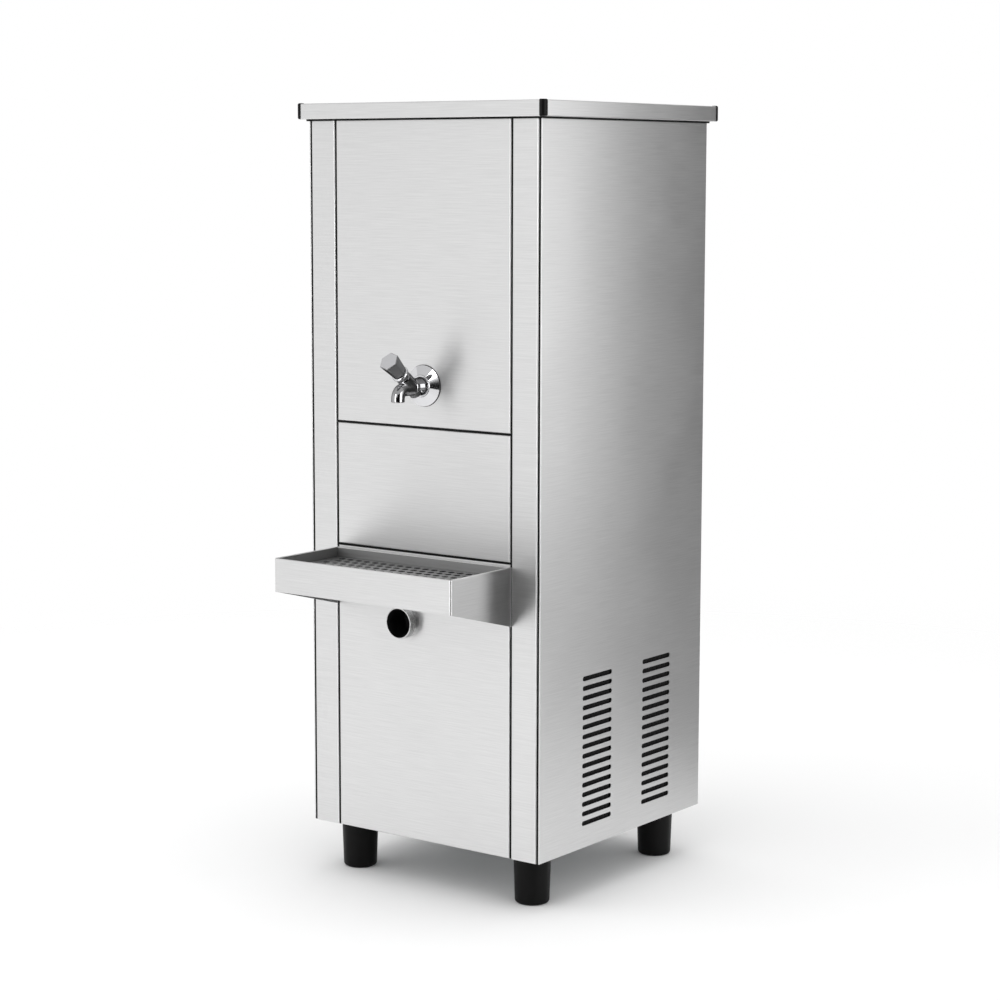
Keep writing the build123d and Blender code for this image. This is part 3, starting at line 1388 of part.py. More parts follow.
# Liquid line: condenser's bottom through the drier and up to the evaporator
with BuildPart() as liquid_line:
    with BuildLine() as liquid_path:
        FilletPolyline(
            (condenser_x, tube_end, pass_low),
            (condenser_x, liquid_y, pass_low),
            (liquid_x, liquid_y, pass_low),
            (liquid_x, liquid_y, channel_low),
            (liquid_x, tank_y + cavity_r, channel_low),
            radius=pipe_bend / 2,
        )
    with BuildSketch(Plane(liquid_path.line @ 0, z_dir=liquid_path.line % 0)):
        Circle(liquid_r)
    sweep()
liquid_line.part.label = "liquid_line"
export_step(liquid_line.part, "parts/liquid_line.step")

# Drier round the liquid line's level run
with BuildPart() as filter_drier:
    with BuildSketch(Plane(origin=(0, liquid_y, pass_low), x_dir=(0, 1, 0), z_dir=(1, 0, 0))):
        Circle(drier_r)
    extrude(amount=drier_length)
    fillet(filter_drier.edges(), drier_round)
    with BuildSketch(Plane(origin=(0, liquid_y, pass_low), x_dir=(0, 1, 0), z_dir=(1, 0, 0))):
        Circle(liquid_r + fin_hole_gap)
    extrude(amount=drier_length, mode=Mode.SUBTRACT)
filter_drier.part.label = "filter_drier"
export_step(filter_drier.part, "parts/filter_drier.step")

# Suction pipe: evaporator's top back to the compressor
suction_z = shell_z + suction_at
with BuildPart() as suction_pipe:
    with BuildLine() as suction_path:
        FilletPolyline(
            (suction_x, tank_y + cavity_r, channel_top),
            (suction_x, suction_y, channel_top),
            (suction_x, suction_y, suction_z),
            (compressor_x, suction_y, suction_z),
            (compressor_x, shell_back, suction_z),
            radius=pipe_bend,
        )
    with BuildSketch(Plane(suction_path.line @ 0, z_dir=suction_path.line % 0)):
        Circle(suction_r)
    sweep()
suction_pipe.part.label = "suction_pipe"
export_step(suction_pipe.part, "parts/suction_pipe.step")

# Thermostat inside the upper rear panel
with BuildPart() as thermostat:
    with BuildSketch(back.offset(-sheet)):
        with Locations((-thermostat_x, thermostat_z)):
            Rectangle(thermostat_width, thermostat_tall)
    extrude(amount=-thermostat_depth)
    with BuildSketch(back.offset(-sheet)):
        with Locations((-thermostat_x, thermostat_z)):
            Circle(dial_shaft_r + dial_shaft_gap)
    extrude(amount=-dial_shaft_in, mode=Mode.SUBTRACT)
thermostat.part.label = "thermostat"
export_step(thermostat.part, "parts/thermostat.step")

# Thermostat knob with its shaft and a pointer groove
with BuildPart() as thermostat_knob:
    with BuildSketch(back.offset(dial_gap)):
        with Locations((-thermostat_x, thermostat_z)):
            Circle(dial_r)
    extrude(amount=dial_height)
    fillet(thermostat_knob.edges().group_by(Axis.Y)[-1], dial_round)
    with BuildSketch(back.offset(dial_gap + dial_height)):
        with Locations((-thermostat_x, thermostat_z)):
            Rectangle(dial_notch, dial_r, align=upward)
    extrude(amount=-dial_notch / 2, mode=Mode.SUBTRACT)
    with BuildSketch(back.offset(dial_gap)):
        with Locations((-thermostat_x, thermostat_z)):
            Circle(dial_shaft_r)
    extrude(amount=-dial_gap - sheet - dial_shaft_in)
thermostat_knob.part.label = "thermostat_knob"
export_step(thermostat_knob.part, "parts/thermostat_knob.step")

# Cord gland through the rear grille
with BuildPart() as cord_gland:
    with BuildSketch(back):
        with Locations((-gland_x, gland_z)):
            Circle(gland_flange_r)
    extrude(amount=gland_flange)
    fillet(cord_gland.edges().group_by(Axis.Y)[-1], gland_flange / 3)
    with BuildSketch(back):
        with Locations((-gland_x, gland_z)):
            Circle(gland_r)
    extrude(amount=-gland_inside)
    with BuildSketch(back.offset(-sheet)):
        with Locations((-gland_x, gland_z)):
            RegularPolygon(gland_r + gland_nut, 6, major_radius=False)
    extrude(amount=-gland_nut)
    with BuildSketch(back.offset(gland_flange)):
        with Locations((-gland_x, gland_z)):
            Circle(gland_bore)
    extrude(amount=-gland_flange - gland_inside, mode=Mode.SUBTRACT)
cord_gland.part.label = "cord_gland"
export_step(cord_gland.part, "parts/cord_gland.step")
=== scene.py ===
# %% [markdown]
# # A stainless-steel storage water cooler
# The CAD model gives every sheet, tap part and fastener its place and size.
# This lesson gives them their finishes, adds the small details that sheet
# metal shows close up, and sets a plain studio round them.

# %% Load the frame
import json
import math

import bmesh
import bpy
from mathutils import Matrix, Vector


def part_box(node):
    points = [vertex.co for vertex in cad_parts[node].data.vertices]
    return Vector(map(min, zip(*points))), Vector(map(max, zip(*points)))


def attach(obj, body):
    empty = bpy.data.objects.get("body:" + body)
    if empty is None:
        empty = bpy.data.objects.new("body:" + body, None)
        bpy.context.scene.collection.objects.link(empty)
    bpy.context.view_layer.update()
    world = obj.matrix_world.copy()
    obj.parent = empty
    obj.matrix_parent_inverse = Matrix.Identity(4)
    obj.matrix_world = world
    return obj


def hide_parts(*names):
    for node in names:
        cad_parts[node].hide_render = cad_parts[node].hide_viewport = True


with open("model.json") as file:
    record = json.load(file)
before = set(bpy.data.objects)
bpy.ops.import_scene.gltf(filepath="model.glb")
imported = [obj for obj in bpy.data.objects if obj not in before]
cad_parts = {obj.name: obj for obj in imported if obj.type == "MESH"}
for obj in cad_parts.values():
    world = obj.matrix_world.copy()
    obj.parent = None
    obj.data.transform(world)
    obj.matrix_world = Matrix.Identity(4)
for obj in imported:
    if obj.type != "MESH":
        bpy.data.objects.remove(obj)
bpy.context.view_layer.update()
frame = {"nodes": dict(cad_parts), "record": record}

nodes = frame["nodes"]

# %% [markdown]
# ## Colours and nodes
# Colours are written as sRGB hex values, the way a paint card gives them, and
# one function turns them into the linear values that shaders use. A second
# one adds a node, sets its values and links its inputs, so that each material
# reads as a short list. An input is named, with _ for a space, or counted,
# as i0, where a node has several inputs of one name. Two short ones follow for
# the nodes that come up most: a sum or a comparison, and a blend of colours.

# %% Helpers
MM = 0.001


def linear(hex_colour, factor=1.0):
    parts = [int(hex_colour[i : i + 2], 16) / 255 for i in (1, 3, 5)]
    light = [p / 12.92 if p <= 0.04045 else ((p + 0.055) / 1.055) ** 2.4 for p in parts]
    return [min(1.0, p * factor) for p in light] + [1.0]


def add_node(tree, kind, settings=None, **inputs):
    made = tree.nodes.new(kind)
    for key, value in (settings or {}).items():
        setattr(made, key, value)
    for key, value in inputs.items():
        counted = key[0] == "i" and key[1:].isdigit()
        socket = made.inputs[int(key[1:]) if counted else key.replace("_", " ")]
        if isinstance(value, bpy.types.NodeSocket):
            tree.links.new(value, socket)
        else:
            socket.default_value = value
    return made


def maths(tree, operation, first, second=0.0):
    return add_node(tree, "ShaderNodeMath", {"operation": operation}, i0=first, i1=second).outputs[0]


def blend(tree, share, first, second):
    made = add_node(tree, "ShaderNodeMix", {"data_type": "RGBA"}, i0=share, i6=first, i7=second)
    return made.outputs[2]


def new_material(name):
    material = bpy.data.materials.new(name)
    material.use_nodes = True
    material.node_tree.nodes.clear()
    return material, material.node_tree


print("mid grey #808080 is", round(linear("#808080")[0], 3), "in linear light")

# %% [markdown]
# ## The camera
# The photograph's upright edges lean together only a little, so it was taken
# from about three and a half metres with a long lens. The place, the angles
# and the focal length come from fitting the cabinet's straight edges to the
# picture, so the camera is turned through the given angles and not aimed at a target.

# %% Camera
PHOTO_PIXELS = 1000
SENSOR = 36.0
camera_place = Vector((2.0912, -2.7892, 1.0092))
camera_yaw = math.radians(36.531)
camera_pitch = math.radians(7.659)
camera_roll = math.radians(0.123)
focal_pixels = 2457.0

level = Vector((-math.sin(camera_yaw), math.cos(camera_yaw), 0))
forward = level * math.cos(camera_pitch) - Vector((0, 0, math.sin(camera_pitch)))
level_right = Vector((math.cos(camera_yaw), math.sin(camera_yaw), 0))
level_up = level_right.cross(forward)
right = level_right * math.cos(camera_roll) + level_up * math.sin(camera_roll)
up = level_up * math.cos(camera_roll) - level_right * math.sin(camera_roll)
turn = Matrix((right, up, -forward)).transposed().to_4x4()

camera_data = bpy.data.cameras.new("photo_camera")
camera_data.sensor_width = SENSOR
camera_data.lens = focal_pixels * SENSOR / PHOTO_PIXELS
camera_data.clip_end = 50
camera = bpy.data.objects.new("photo_camera", camera_data)
camera.matrix_world = Matrix.Translation(camera_place) @ turn
bpy.context.collection.objects.link(camera)
bpy.context.scene.camera = camera
camera_azimuth = math.degrees(math.atan2(camera_place.y, camera_place.x))
print("lens:", round(camera_data.lens, 1), "mm, seen from", round(camera_azimuth, 1), "degrees")

# %% [markdown]
# ## The room
# Brushed steel is lit by what it reflects, so the room matters as much as the
# lamps. A pale room lights the object a little below full strength, and is
# plain white where the camera, a mirror or clear plastic sees it. Two large
# soft boxes, hidden from mirrors, add a gentle direction to the light.

# %% Room and lamps
bpy.context.scene.view_settings.view_transform = "Standard"
room = bpy.data.worlds.new("pale_room")
bpy.context.scene.world = room
room.use_nodes = True
sky = room.node_tree
sky.nodes.clear()
ray = add_node(sky, "ShaderNodeLightPath").outputs
seen = maths(sky, "MAXIMUM", ray["Is Camera Ray"], ray["Is Glossy Ray"])
seen = maths(sky, "MAXIMUM", seen, ray["Is Transmission Ray"])
lit = add_node(sky, "ShaderNodeBackground", Color=linear("#FFFFFF"), Strength=0.88)
white = add_node(sky, "ShaderNodeBackground", Color=linear("#FFFFFF"), Strength=1.0)
walls = add_node(sky, "ShaderNodeMixShader", i0=seen, i1=lit.outputs[0], i2=white.outputs[0])
add_node(sky, "ShaderNodeOutputWorld", Surface=walls.outputs[0])


def softbox(name, place, aim, size, watts):
    lamp = bpy.data.lights.new(name, "AREA")
    lamp.shape = "SQUARE"
    lamp.size = size
    lamp.energy = watts
    lamp_object = bpy.data.objects.new(name, lamp)
    heading = (Vector(aim) - Vector(place)).to_track_quat("-Z", "Y")
    lamp_object.matrix_world = Matrix.Translation(place) @ heading.to_matrix().to_4x4()
    lamp_object.visible_glossy = False
    bpy.context.collection.objects.link(lamp_object)
    print(name, watts, "W")


softbox("key_softbox", place=(-2.2, -2.4, 2.8), aim=(0, 0, 0.55), size=2.6, watts=22)
softbox("top_softbox", place=(0.2, -0.2, 3.2), aim=(0, 0, 0.5), size=3.0, watts=28)

# %% [markdown]
# ## The floor
# A pale painted floor takes the soft shadow under the legs. A real sweep of
# paper would curve up behind; here the floor fades into the white room, which
# hides the horizon from every side.

# %% Floor
FLOOR_HALF = 6.0
FADE_FROM = 1.2
FADE_TO = 2.6
floor_mesh = bpy.data.meshes.new("floor")
shape = bmesh.new()
bmesh.ops.create_grid(shape, x_segments=1, y_segments=1, size=FLOOR_HALF)
shape.to_mesh(floor_mesh)
shape.free()
floor = bpy.data.objects.new("floor", floor_mesh)
bpy.context.collection.objects.link(floor)
floor_paint, tree = new_material("pale_floor_paint")
spot = add_node(tree, "ShaderNodeTexCoord").outputs["Object"]
distance = add_node(tree, "ShaderNodeVectorMath", {"operation": "LENGTH"}, i0=spot).outputs["Value"]
smooth_step = {"interpolation_type": "SMOOTHSTEP"}
fade = add_node(tree, "ShaderNodeMapRange", smooth_step, Value=distance, From_Min=FADE_FROM, From_Max=FADE_TO)
paint = add_node(tree, "ShaderNodeBsdfDiffuse", Color=linear("#FAFAFA")).outputs[0]
clear = add_node(tree, "ShaderNodeBsdfTransparent").outputs[0]
surface = add_node(tree, "ShaderNodeMixShader", i0=fade.outputs[0], i1=paint, i2=clear)
add_node(tree, "ShaderNodeOutputMaterial", Surface=surface.outputs[0])
floor_mesh.materials.append(floor_paint)
print("floor fades out at", FADE_TO, "m")

# %% [markdown]
# ## Cards and drapes
# A studio shapes metal with cards. These are seen only in reflections: a black
# drape round the camera, which draws the dark bands on the chrome, a grey
# card that makes the right side fall off towards the back, white strips that
# catch the folds of the sheets, and a pale ceiling. A card stands on a line
# between two places on the floor, or lies flat.

# %% Reflected cards
ABOVE_FLOOR = 0.002
DRAPE_BLACK = "#141414"
DRAPE_FAR, DRAPE_NEAR = 3.7, 0.5
DRAPE_TOP = 3.0
DRAPE_AZIMUTHS = (-66, -24)
STRIP_FAR = 3.0
CARD_TOP = 2.4
SIDE_CARD_X = 1.0
CEILING = 2.5


def card(name, quads, grey, strength=1.0, fade=None):
    mesh = bpy.data.meshes.new(name)
    shape = bmesh.new()
    for quad in quads:
        shape.faces.new([shape.verts.new(corner) for corner in quad])
    shape.to_mesh(mesh)
    shape.free()
    made = bpy.data.objects.new(name, mesh)
    bpy.context.collection.objects.link(made)
    made.visible_camera = False
    made.visible_diffuse = False
    made.visible_shadow = False
    material, tree = new_material(name + "_cloth")
    cloth = add_node(tree, "ShaderNodeEmission", Color=linear(grey), Strength=strength)
    if fade:
        place = add_node(tree, "ShaderNodeTexCoord").outputs["Object"]
        height = add_node(tree, "ShaderNodeSeparateXYZ", Vector=place).outputs["Z"]
        low, high = fade
        pale = add_node(tree, "ShaderNodeMapRange", smooth_step, Value=height, From_Min=low, From_Max=high)
        tone = blend(tree, pale.outputs[0], linear(grey), linear("#FFFFFF"))
        tree.links.new(tone, cloth.inputs["Color"])
    add_node(tree, "ShaderNodeOutputMaterial", Surface=cloth.outputs[0])
    mesh.materials.append(material)
    print(name, grey, strength)


def upright(near, far, top, foot=0.0):
    return [(*near, foot), (*far, foot), (*far, top), (*near, top)]


def flat(low, high, height):
    (x0, y0), (x1, y1) = low, high
    return [(x0, y0, height), (x1, y0, height), (x1, y1, height), (x0, y1, height)]


def around(azimuth, distance):
    return distance * math.cos(math.radians(azimuth)), distance * math.sin(math.radians(azimuth))


drape_left, drape_right = (around(azimuth, DRAPE_FAR) for azimuth in DRAPE_AZIMUTHS)
near_left, near_right = (around(azimuth, DRAPE_NEAR) for azimuth in DRAPE_AZIMUTHS)
drape_floor = [(*place, ABOVE_FLOOR) for place in (drape_left, drape_right, near_right, near_left)]
card("camera_drape", [upright(drape_left, drape_right, DRAPE_TOP), drape_floor], DRAPE_BLACK)
card("left_drape", [upright(around(-88, DRAPE_FAR), drape_left, DRAPE_TOP)], DRAPE_BLACK, fade=(0.8, 1.9))
card("rear_drape", [upright(around(80, STRIP_FAR), around(145, STRIP_FAR), CARD_TOP)], "#202020")
card("side_card", [upright((SIDE_CARD_X, 1.2), (SIDE_CARD_X, 3.6), CARD_TOP)], "#757575")
card("side_floor_card", [flat((0.35, 0.6), (3.0, 3.6), ABOVE_FLOOR)], "#9C9C9C")
card("side_light", [upright((SIDE_CARD_X, 0.53), (SIDE_CARD_X, 1.06), CARD_TOP, foot=0.35)], "#FFFFFF", 1.5)
card("left_strip", [upright(around(-104, STRIP_FAR), around(-90, STRIP_FAR), CARD_TOP)], "#FFFFFF", 6.0)
card("right_strip", [upright(around(-18, STRIP_FAR), around(4, STRIP_FAR), CARD_TOP)], "#FFFFFF", 5.0)
card("ceiling_card", [flat((-4, -4), (4, 4), CEILING)], "#E0E0E0")

# %% [markdown]
# ## Brushed stainless steel
# The sheets are austenitic stainless with a brushed finish. A belt leaves fine
# scratches that all run one way, level on the upright faces, so a reflection
# smears across them, up and down, and stays sharper along them. On a lying
# sheet they run along its width. Anisotropy gives the smear. A noise stretched
# along the scratches draws them in colour and roughness. Real ones are about
# 0.1 mm wide, which the picture can't show, so they are drawn a millimetre
# wide and faint. A broad second noise is the handling that a sheet always
# shows.

# %% Brushed stainless
SCRATCH_LENGTH = 60 * MM
SCRATCH_WIDTH = 1.2 * MM
HANDLING = 110 * MM
LYING_TILT = 0.7
NOISE_SPAN = dict(From_Min=0.3, From_Max=0.7)
FINE_SPREAD, BROAD_SPREAD = 0.03, 0.02
QUARTER_TURN = 0.25


def brushed_steel(name, colour, roughness, across, contrast=0.05):
    material, tree = new_material(name)
    place = add_node(tree, "ShaderNodeTexCoord").outputs["Object"]
    x, y, z = add_node(tree, "ShaderNodeSeparateXYZ", Vector=place).outputs
    normal = add_node(tree, "ShaderNodeNewGeometry").outputs["Normal"]
    tilt = add_node(tree, "ShaderNodeSeparateXYZ", Vector=normal).outputs["Z"]
    lying = maths(tree, "GREATER_THAN", maths(tree, "ABSOLUTE", tilt), LYING_TILT)
    along = add_node(tree, "ShaderNodeMix", i0=lying, i2=maths(tree, "ADD", x, y), i3=x).outputs[0]
    over = add_node(tree, "ShaderNodeMix", i0=lying, i2=z, i3=y).outputs[0]
    along = maths(tree, "DIVIDE", along, SCRATCH_LENGTH)
    over = maths(tree, "DIVIDE", over, SCRATCH_WIDTH)
    grain = add_node(tree, "ShaderNodeCombineXYZ", X=along, Y=over).outputs[0]
    flat_noise = {"noise_dimensions": "2D"}
    belt = add_node(tree, "ShaderNodeTexNoise", flat_noise, Vector=grain, Scale=1, Detail=4, Roughness=0.65)
    scratch = add_node(tree, "ShaderNodeMapRange", Value=belt.outputs[0], **NOISE_SPAN).outputs[0]
    hands = add_node(tree, "ShaderNodeTexNoise", Vector=place, Scale=1 / HANDLING, Detail=2.0).outputs[0]
    tone = blend(tree, scratch, linear(colour, 1 - contrast), linear(colour, 1 + contrast))
    smoothest, roughest = roughness - FINE_SPREAD, roughness + FINE_SPREAD
    fine = add_node(tree, "ShaderNodeMapRange", Value=scratch, To_Min=smoothest, To_Max=roughest)
    broad = add_node(
        tree, "ShaderNodeMapRange", Value=hands, To_Min=-BROAD_SPREAD, To_Max=BROAD_SPREAD, **NOISE_SPAN
    )
    rough = maths(tree, "ADD", fine.outputs[0], broad.outputs[0])
    relief = add_node(tree, "ShaderNodeBump", Strength=0.05, Distance=0.02 * MM, Height=scratch).outputs[0]
    steel = add_node(
        tree, "ShaderNodeBsdfPrincipled", Base_Color=tone, Metallic=1.0, Roughness=rough, Normal=relief
    )
    if across:
        steel.inputs["Anisotropic"].default_value = across
        steel.inputs["Anisotropic Rotation"].default_value = QUARTER_TURN
        ring_way = add_node(tree, "ShaderNodeTangent", {"direction_type": "RADIAL", "axis": "Z"}).outputs[0]
        way = {"data_type": "VECTOR"}
        way = add_node(tree, "ShaderNodeMix", way, i0=lying, i4=ring_way, i5=(1, 0, 0)).outputs[1]
        tree.links.new(way, steel.inputs["Tangent"])
    add_node(tree, "ShaderNodeOutputMaterial", Surface=steel.outputs[0])
    print(name, colour, roughness)
    return material


panel_steel = brushed_steel("brushed_stainless_panel", "#DDDDDD", 0.35, across=0.8)
tray_steel = brushed_steel("brushed_stainless_tray", "#D8D8D8", 0.33, across=0.6)
tank_steel = brushed_steel("satin_stainless_tank", "#CFCFD0", 0.34, across=0)

# %% [markdown]
# ## Painted shade in three steel pieces
# Three steel pieces change from place to place, and each change is painted
# shade. The drain stub's bore is painted near black, for the dark inside of
# the tube. The walls of the grille's holes are painted near black and rough,
# for the dark under the grille. The tray's inside is painted a darker, rougher
# grey, for the shade within its walls. Each could be a piece of its own, but a
# mask in the material keeps the sheet whole: the stub's bore is what lies within its radius, a hole's wall is
# what stands upright on a lying plate, and the tray's inside is every wall that
# looks towards its middle, below the rim's bright fold.

# %% Drain, grille and tray
BORE_RADIUS = 20.6 * MM
HOLE_WALL_TILT = 0.5
WALL_TILT = 0.3


def paint_shade(material, mask, colour, roughness, metallic=0.0):
    tree = material.node_tree
    body = next(node for node in tree.nodes if node.bl_idname == "ShaderNodeBsdfPrincipled")
    metal = add_node(tree, "ShaderNodeMix", i0=mask, i2=1.0, i3=metallic).outputs[0]
    tree.links.new(metal, body.inputs["Metallic"])
    tone = body.inputs["Base Color"].links[0].from_socket
    tree.links.new(blend(tree, mask, tone, linear(colour)), body.inputs["Base Color"])
    rough = body.inputs["Roughness"].links[0].from_socket
    rough = add_node(tree, "ShaderNodeMix", i0=mask, i2=rough, i3=roughness).outputs[0]
    tree.links.new(rough, body.inputs["Roughness"])


def middle(node):
    low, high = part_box(node)
    return (Vector(low) + Vector(high)) / 2


drain_axis = middle("drain_outlet")
drain_steel = brushed_steel("stainless_with_painted_bore_shade", "#D0D0D0", 0.28, across=0)
tree = drain_steel.node_tree
place = add_node(tree, "ShaderNodeTexCoord").outputs["Object"]
away = add_node(tree, "ShaderNodeVectorMath", {"operation": "SUBTRACT"}, i0=place, i1=drain_axis).outputs[0]
away = add_node(tree, "ShaderNodeVectorMath", {"operation": "MULTIPLY"}, i0=away, i1=(1, 0, 1)).outputs[0]
radius = add_node(tree, "ShaderNodeVectorMath", {"operation": "LENGTH"}, i0=away).outputs["Value"]
# painted shade: the bore is painted near black for the dark inside of the tube
paint_shade(drain_steel, maths(tree, "LESS_THAN", radius, BORE_RADIUS), "#050505", 0.7)

grille_steel = brushed_steel("punched_stainless_grille", "#B8B8B8", 0.34, across=0)
tree = grille_steel.node_tree
normal = add_node(tree, "ShaderNodeNewGeometry").outputs["Normal"]
tilt = add_node(tree, "ShaderNodeSeparateXYZ", Vector=normal).outputs["Z"]
hole_wall_shade = maths(tree, "LESS_THAN", maths(tree, "ABSOLUTE", tilt), HOLE_WALL_TILT)
# painted shade: the upright walls of the holes are painted near black for the dark under the grille
paint_shade(grille_steel, hole_wall_shade, "#0C0C0C", 0.8)

tree = tray_steel.node_tree
place = add_node(tree, "ShaderNodeTexCoord").outputs["Object"]
normal = add_node(tree, "ShaderNodeNewGeometry").outputs["Normal"]
inward = {"operation": "SUBTRACT"}
inward = add_node(tree, "ShaderNodeVectorMath", inward, i0=middle("drip_tray"), i1=place).outputs[0]
facing = {"operation": "DOT_PRODUCT"}
facing = add_node(tree, "ShaderNodeVectorMath", facing, i0=normal, i1=inward).outputs["Value"]
inside = maths(tree, "GREATER_THAN", facing)
tilt = add_node(tree, "ShaderNodeSeparateXYZ", Vector=normal).outputs["Z"]
inside = maths(tree, "MULTIPLY", inside, maths(tree, "LESS_THAN", tilt, WALL_TILT))
# painted shade: the tray's inner walls are painted a darker grey, and made rougher, for the shade within them
paint_shade(tray_steel, inside, "#9C9C9C", 0.45, metallic=1.0)
print("drain axis at", [round(v, 4) for v in drain_axis])

# %% [markdown]
# ## Plated, painted and moulded finishes
# The other parts have even surfaces whose grain is a fine noise: the wipe
# marks on chrome, the draw marks on copper, the grit in moulded plastic. One
# function takes the colour, how metallic and how rough it is, the size of the
# grain in millimetres and its depth. Galvanised steel is different: its zinc
# freezes in crystals, so a cell pattern gives each spangle its own grey.

# %% Even finishes
SMOOTHEST, ROUGHEST = 0.85, 1.15  # shares of a finish's roughness
DARKEST, LIGHTEST = 0.78, 1.18  # shares of the zinc's grey


def even_finish(name, colour, metallic, roughness, grain, depth, contrast=0.06):
    material, tree = new_material(name)
    place = add_node(tree, "ShaderNodeTexCoord").outputs["Object"]
    grit = add_node(tree, "ShaderNodeTexNoise", Vector=place, Scale=1 / (grain * MM), Detail=3.0).outputs[0]
    tone = blend(tree, grit, linear(colour, 1 - contrast), linear(colour, 1 + contrast))
    span = dict(To_Min=roughness * SMOOTHEST, To_Max=roughness * ROUGHEST, **NOISE_SPAN)
    rough = add_node(tree, "ShaderNodeMapRange", Value=grit, **span).outputs[0]
    relief = add_node(tree, "ShaderNodeBump", Strength=0.5, Distance=depth * MM, Height=grit).outputs[0]
    body = add_node(
        tree, "ShaderNodeBsdfPrincipled", Base_Color=tone, Metallic=metallic, Roughness=rough, Normal=relief
    )
    add_node(tree, "ShaderNodeOutputMaterial", Surface=body.outputs[0])
    return material


def spangled_zinc(name, colour, spangle):
    material, tree = new_material(name)
    place = add_node(tree, "ShaderNodeTexCoord").outputs["Object"]
    crystal = add_node(tree, "ShaderNodeTexVoronoi", Vector=place, Scale=1 / (spangle * MM)).outputs["Color"]
    shade = add_node(tree, "ShaderNodeSeparateColor", i0=crystal).outputs[0]
    tone = blend(tree, shade, linear(colour, DARKEST), linear(colour, LIGHTEST))
    rough = add_node(tree, "ShaderNodeMapRange", Value=shade, To_Min=0.34, To_Max=0.5).outputs[0]
    zinc = add_node(tree, "ShaderNodeBsdfPrincipled", Base_Color=tone, Metallic=1.0, Roughness=rough)
    add_node(tree, "ShaderNodeOutputMaterial", Surface=zinc.outputs[0])
    return material


finishes = {
    "stainless_panel": panel_steel,
    "stainless_tray": tray_steel,
    "stainless_tank": tank_steel,
    # hot-dip zinc: grey crystals that flash one by one
    "galvanised_sheet": spangled_zinc("galvanised_steel", "#A9ACAD", 9),
    # bright plate on the spun flange, a mirror with faint wipe marks
    "chrome": even_finish("chrome_plate_on_spun_brass", "#D9D9DB", 1.0, 0.08, 14, 0.0, 0.02),
    # turned brass: warm, satin
    "brass": even_finish("machined_brass", "#C9A45E", 1.0, 0.28, 3, 0.002),
    # drawn tube with brown oxide in patches
    "copper": even_finish("drawn_copper", "#C07A56", 1.0, 0.30, 6, 0.002, 0.18),
    # mill-finish foil, pale and soft
    "aluminium_fin": even_finish("mill_aluminium", "#C9CBCD", 1.0, 0.36, 5, 0.002),
    # moulded ABS with a fine spark texture: black with a soft sheen
    "black_plastic": even_finish("moulded_black_abs", "#080808", 0.0, 0.42, 0.8, 0.01, 0.2),
    # matt rubber that hardly reflects
    "black_rubber": even_finish("moulded_black_rubber", "#141414", 0.0, 0.75, 1.0, 0.02, 0.2),
    # glossy white polypropylene, slightly warm
    "white_plastic": even_finish("moulded_white_plastic", "#E4E2DC", 0.0, 0.35, 2, 0.002),
    # stoved black paint with a slight orange peel
    "black_enamel": even_finish("stoved_black_enamel", "#141414", 0.0, 0.30, 2.5, 0.01, 0.2),
    # bright zinc plate on small steel parts
    "zinc_screw": even_finish("zinc_plated_steel", "#BDBEC0", 1.0, 0.30, 2, 0.002),
    # cut polyurethane foam: open cells, dull yellow
    "foam": even_finish("rigid_foam", "#DDD0A4", 0.0, 0.85, 2.2, 0.5, 0.12),
}
# painted shade: the tap's body and knob take a deeper, greyer copy of the chrome, standing in for the dark
# reflections round them
shaded_chrome = even_finish("chrome_with_painted_shade", "#A8A8A9", 1.0, 0.08, 14, 0.0, 0.02)
for plate in (finishes["chrome"], shaded_chrome):
    # edges that turn away from the eye go dark
    plate.node_tree.nodes["Principled BSDF"].inputs["Specular Tint"].default_value = linear("#404040")
for moulding in (finishes["black_plastic"], finishes["black_rubber"]):
    # carbon black in the skin drinks most of the room's reflection
    moulding.node_tree.nodes["Principled BSDF"].inputs["Specular IOR Level"].default_value = 0.12
shaded_tap_parts = ("tap_body", "tap_knob")
own_finish = {node: shaded_chrome for node in shaded_tap_parts}
own_finish |= {"tray_grille": grille_steel, "drain_outlet": drain_steel}
for part in frame["record"]["subparts"]:
    sheet = nodes[part["node"]].data
    sheet.materials.clear()
    sheet.materials.append(own_finish.get(part["node"], finishes[part["material_slot"]]))
print("finishes:", len(finishes) + len(own_finish))

# %% [markdown]
# ## Turned and repeated details
# Many small details are round: beads, rings, threads. Each is a profile of a
# few points, given as radius and distance along an axis in millimetres, spun
# once round that axis. A finished piece rides on a CAD body and takes its
# finish from a material slot.

# %% Making pieces
TURNED_STEPS = 72
SHARP = math.radians(40)
MERGE = 0.001 * MM


def turned(shape, centre, axis, profile):
    side = Vector((0, 0, 1)) if abs(axis.z) < 0.5 else Vector((1, 0, 0))
    loop = [shape.verts.new(centre + side * r * MM + axis * a * MM) for r, a in profile]
    edges = [shape.edges.new(pair) for pair in zip(loop, loop[1:] + loop[:1])]
    bmesh.ops.spin(
        shape, geom=loop + edges, cent=centre, axis=axis, angle=math.tau, steps=TURNED_STEPS, use_merge=True
    )


def finished(name, shape, body, slot):
    bmesh.ops.remove_doubles(shape, verts=shape.verts[:], dist=MERGE)
    bmesh.ops.recalc_face_normals(shape, faces=shape.faces[:])
    mesh = bpy.data.meshes.new(name)
    shape.to_mesh(mesh)
    shape.free()
    mesh.shade_smooth()
    mesh.set_sharp_from_angle(angle=SHARP)
    mesh.materials.append(finishes[slot])
    piece = bpy.data.objects.new(name, mesh)
    bpy.context.collection.objects.link(piece)
    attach(piece, body)
    print(name, len(mesh.polygons), "faces")
    return piece


out_of_front, out_of_back, upward = Vector((0, -1, 0)), Vector((0, 1, 0)), Vector((0, 0, 1))
front_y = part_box("upper_front_panel")[0][1]
back_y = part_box("upper_rear_panel")[1][1]
print("front at", round(front_y, 4), "back at", round(back_y, 4))
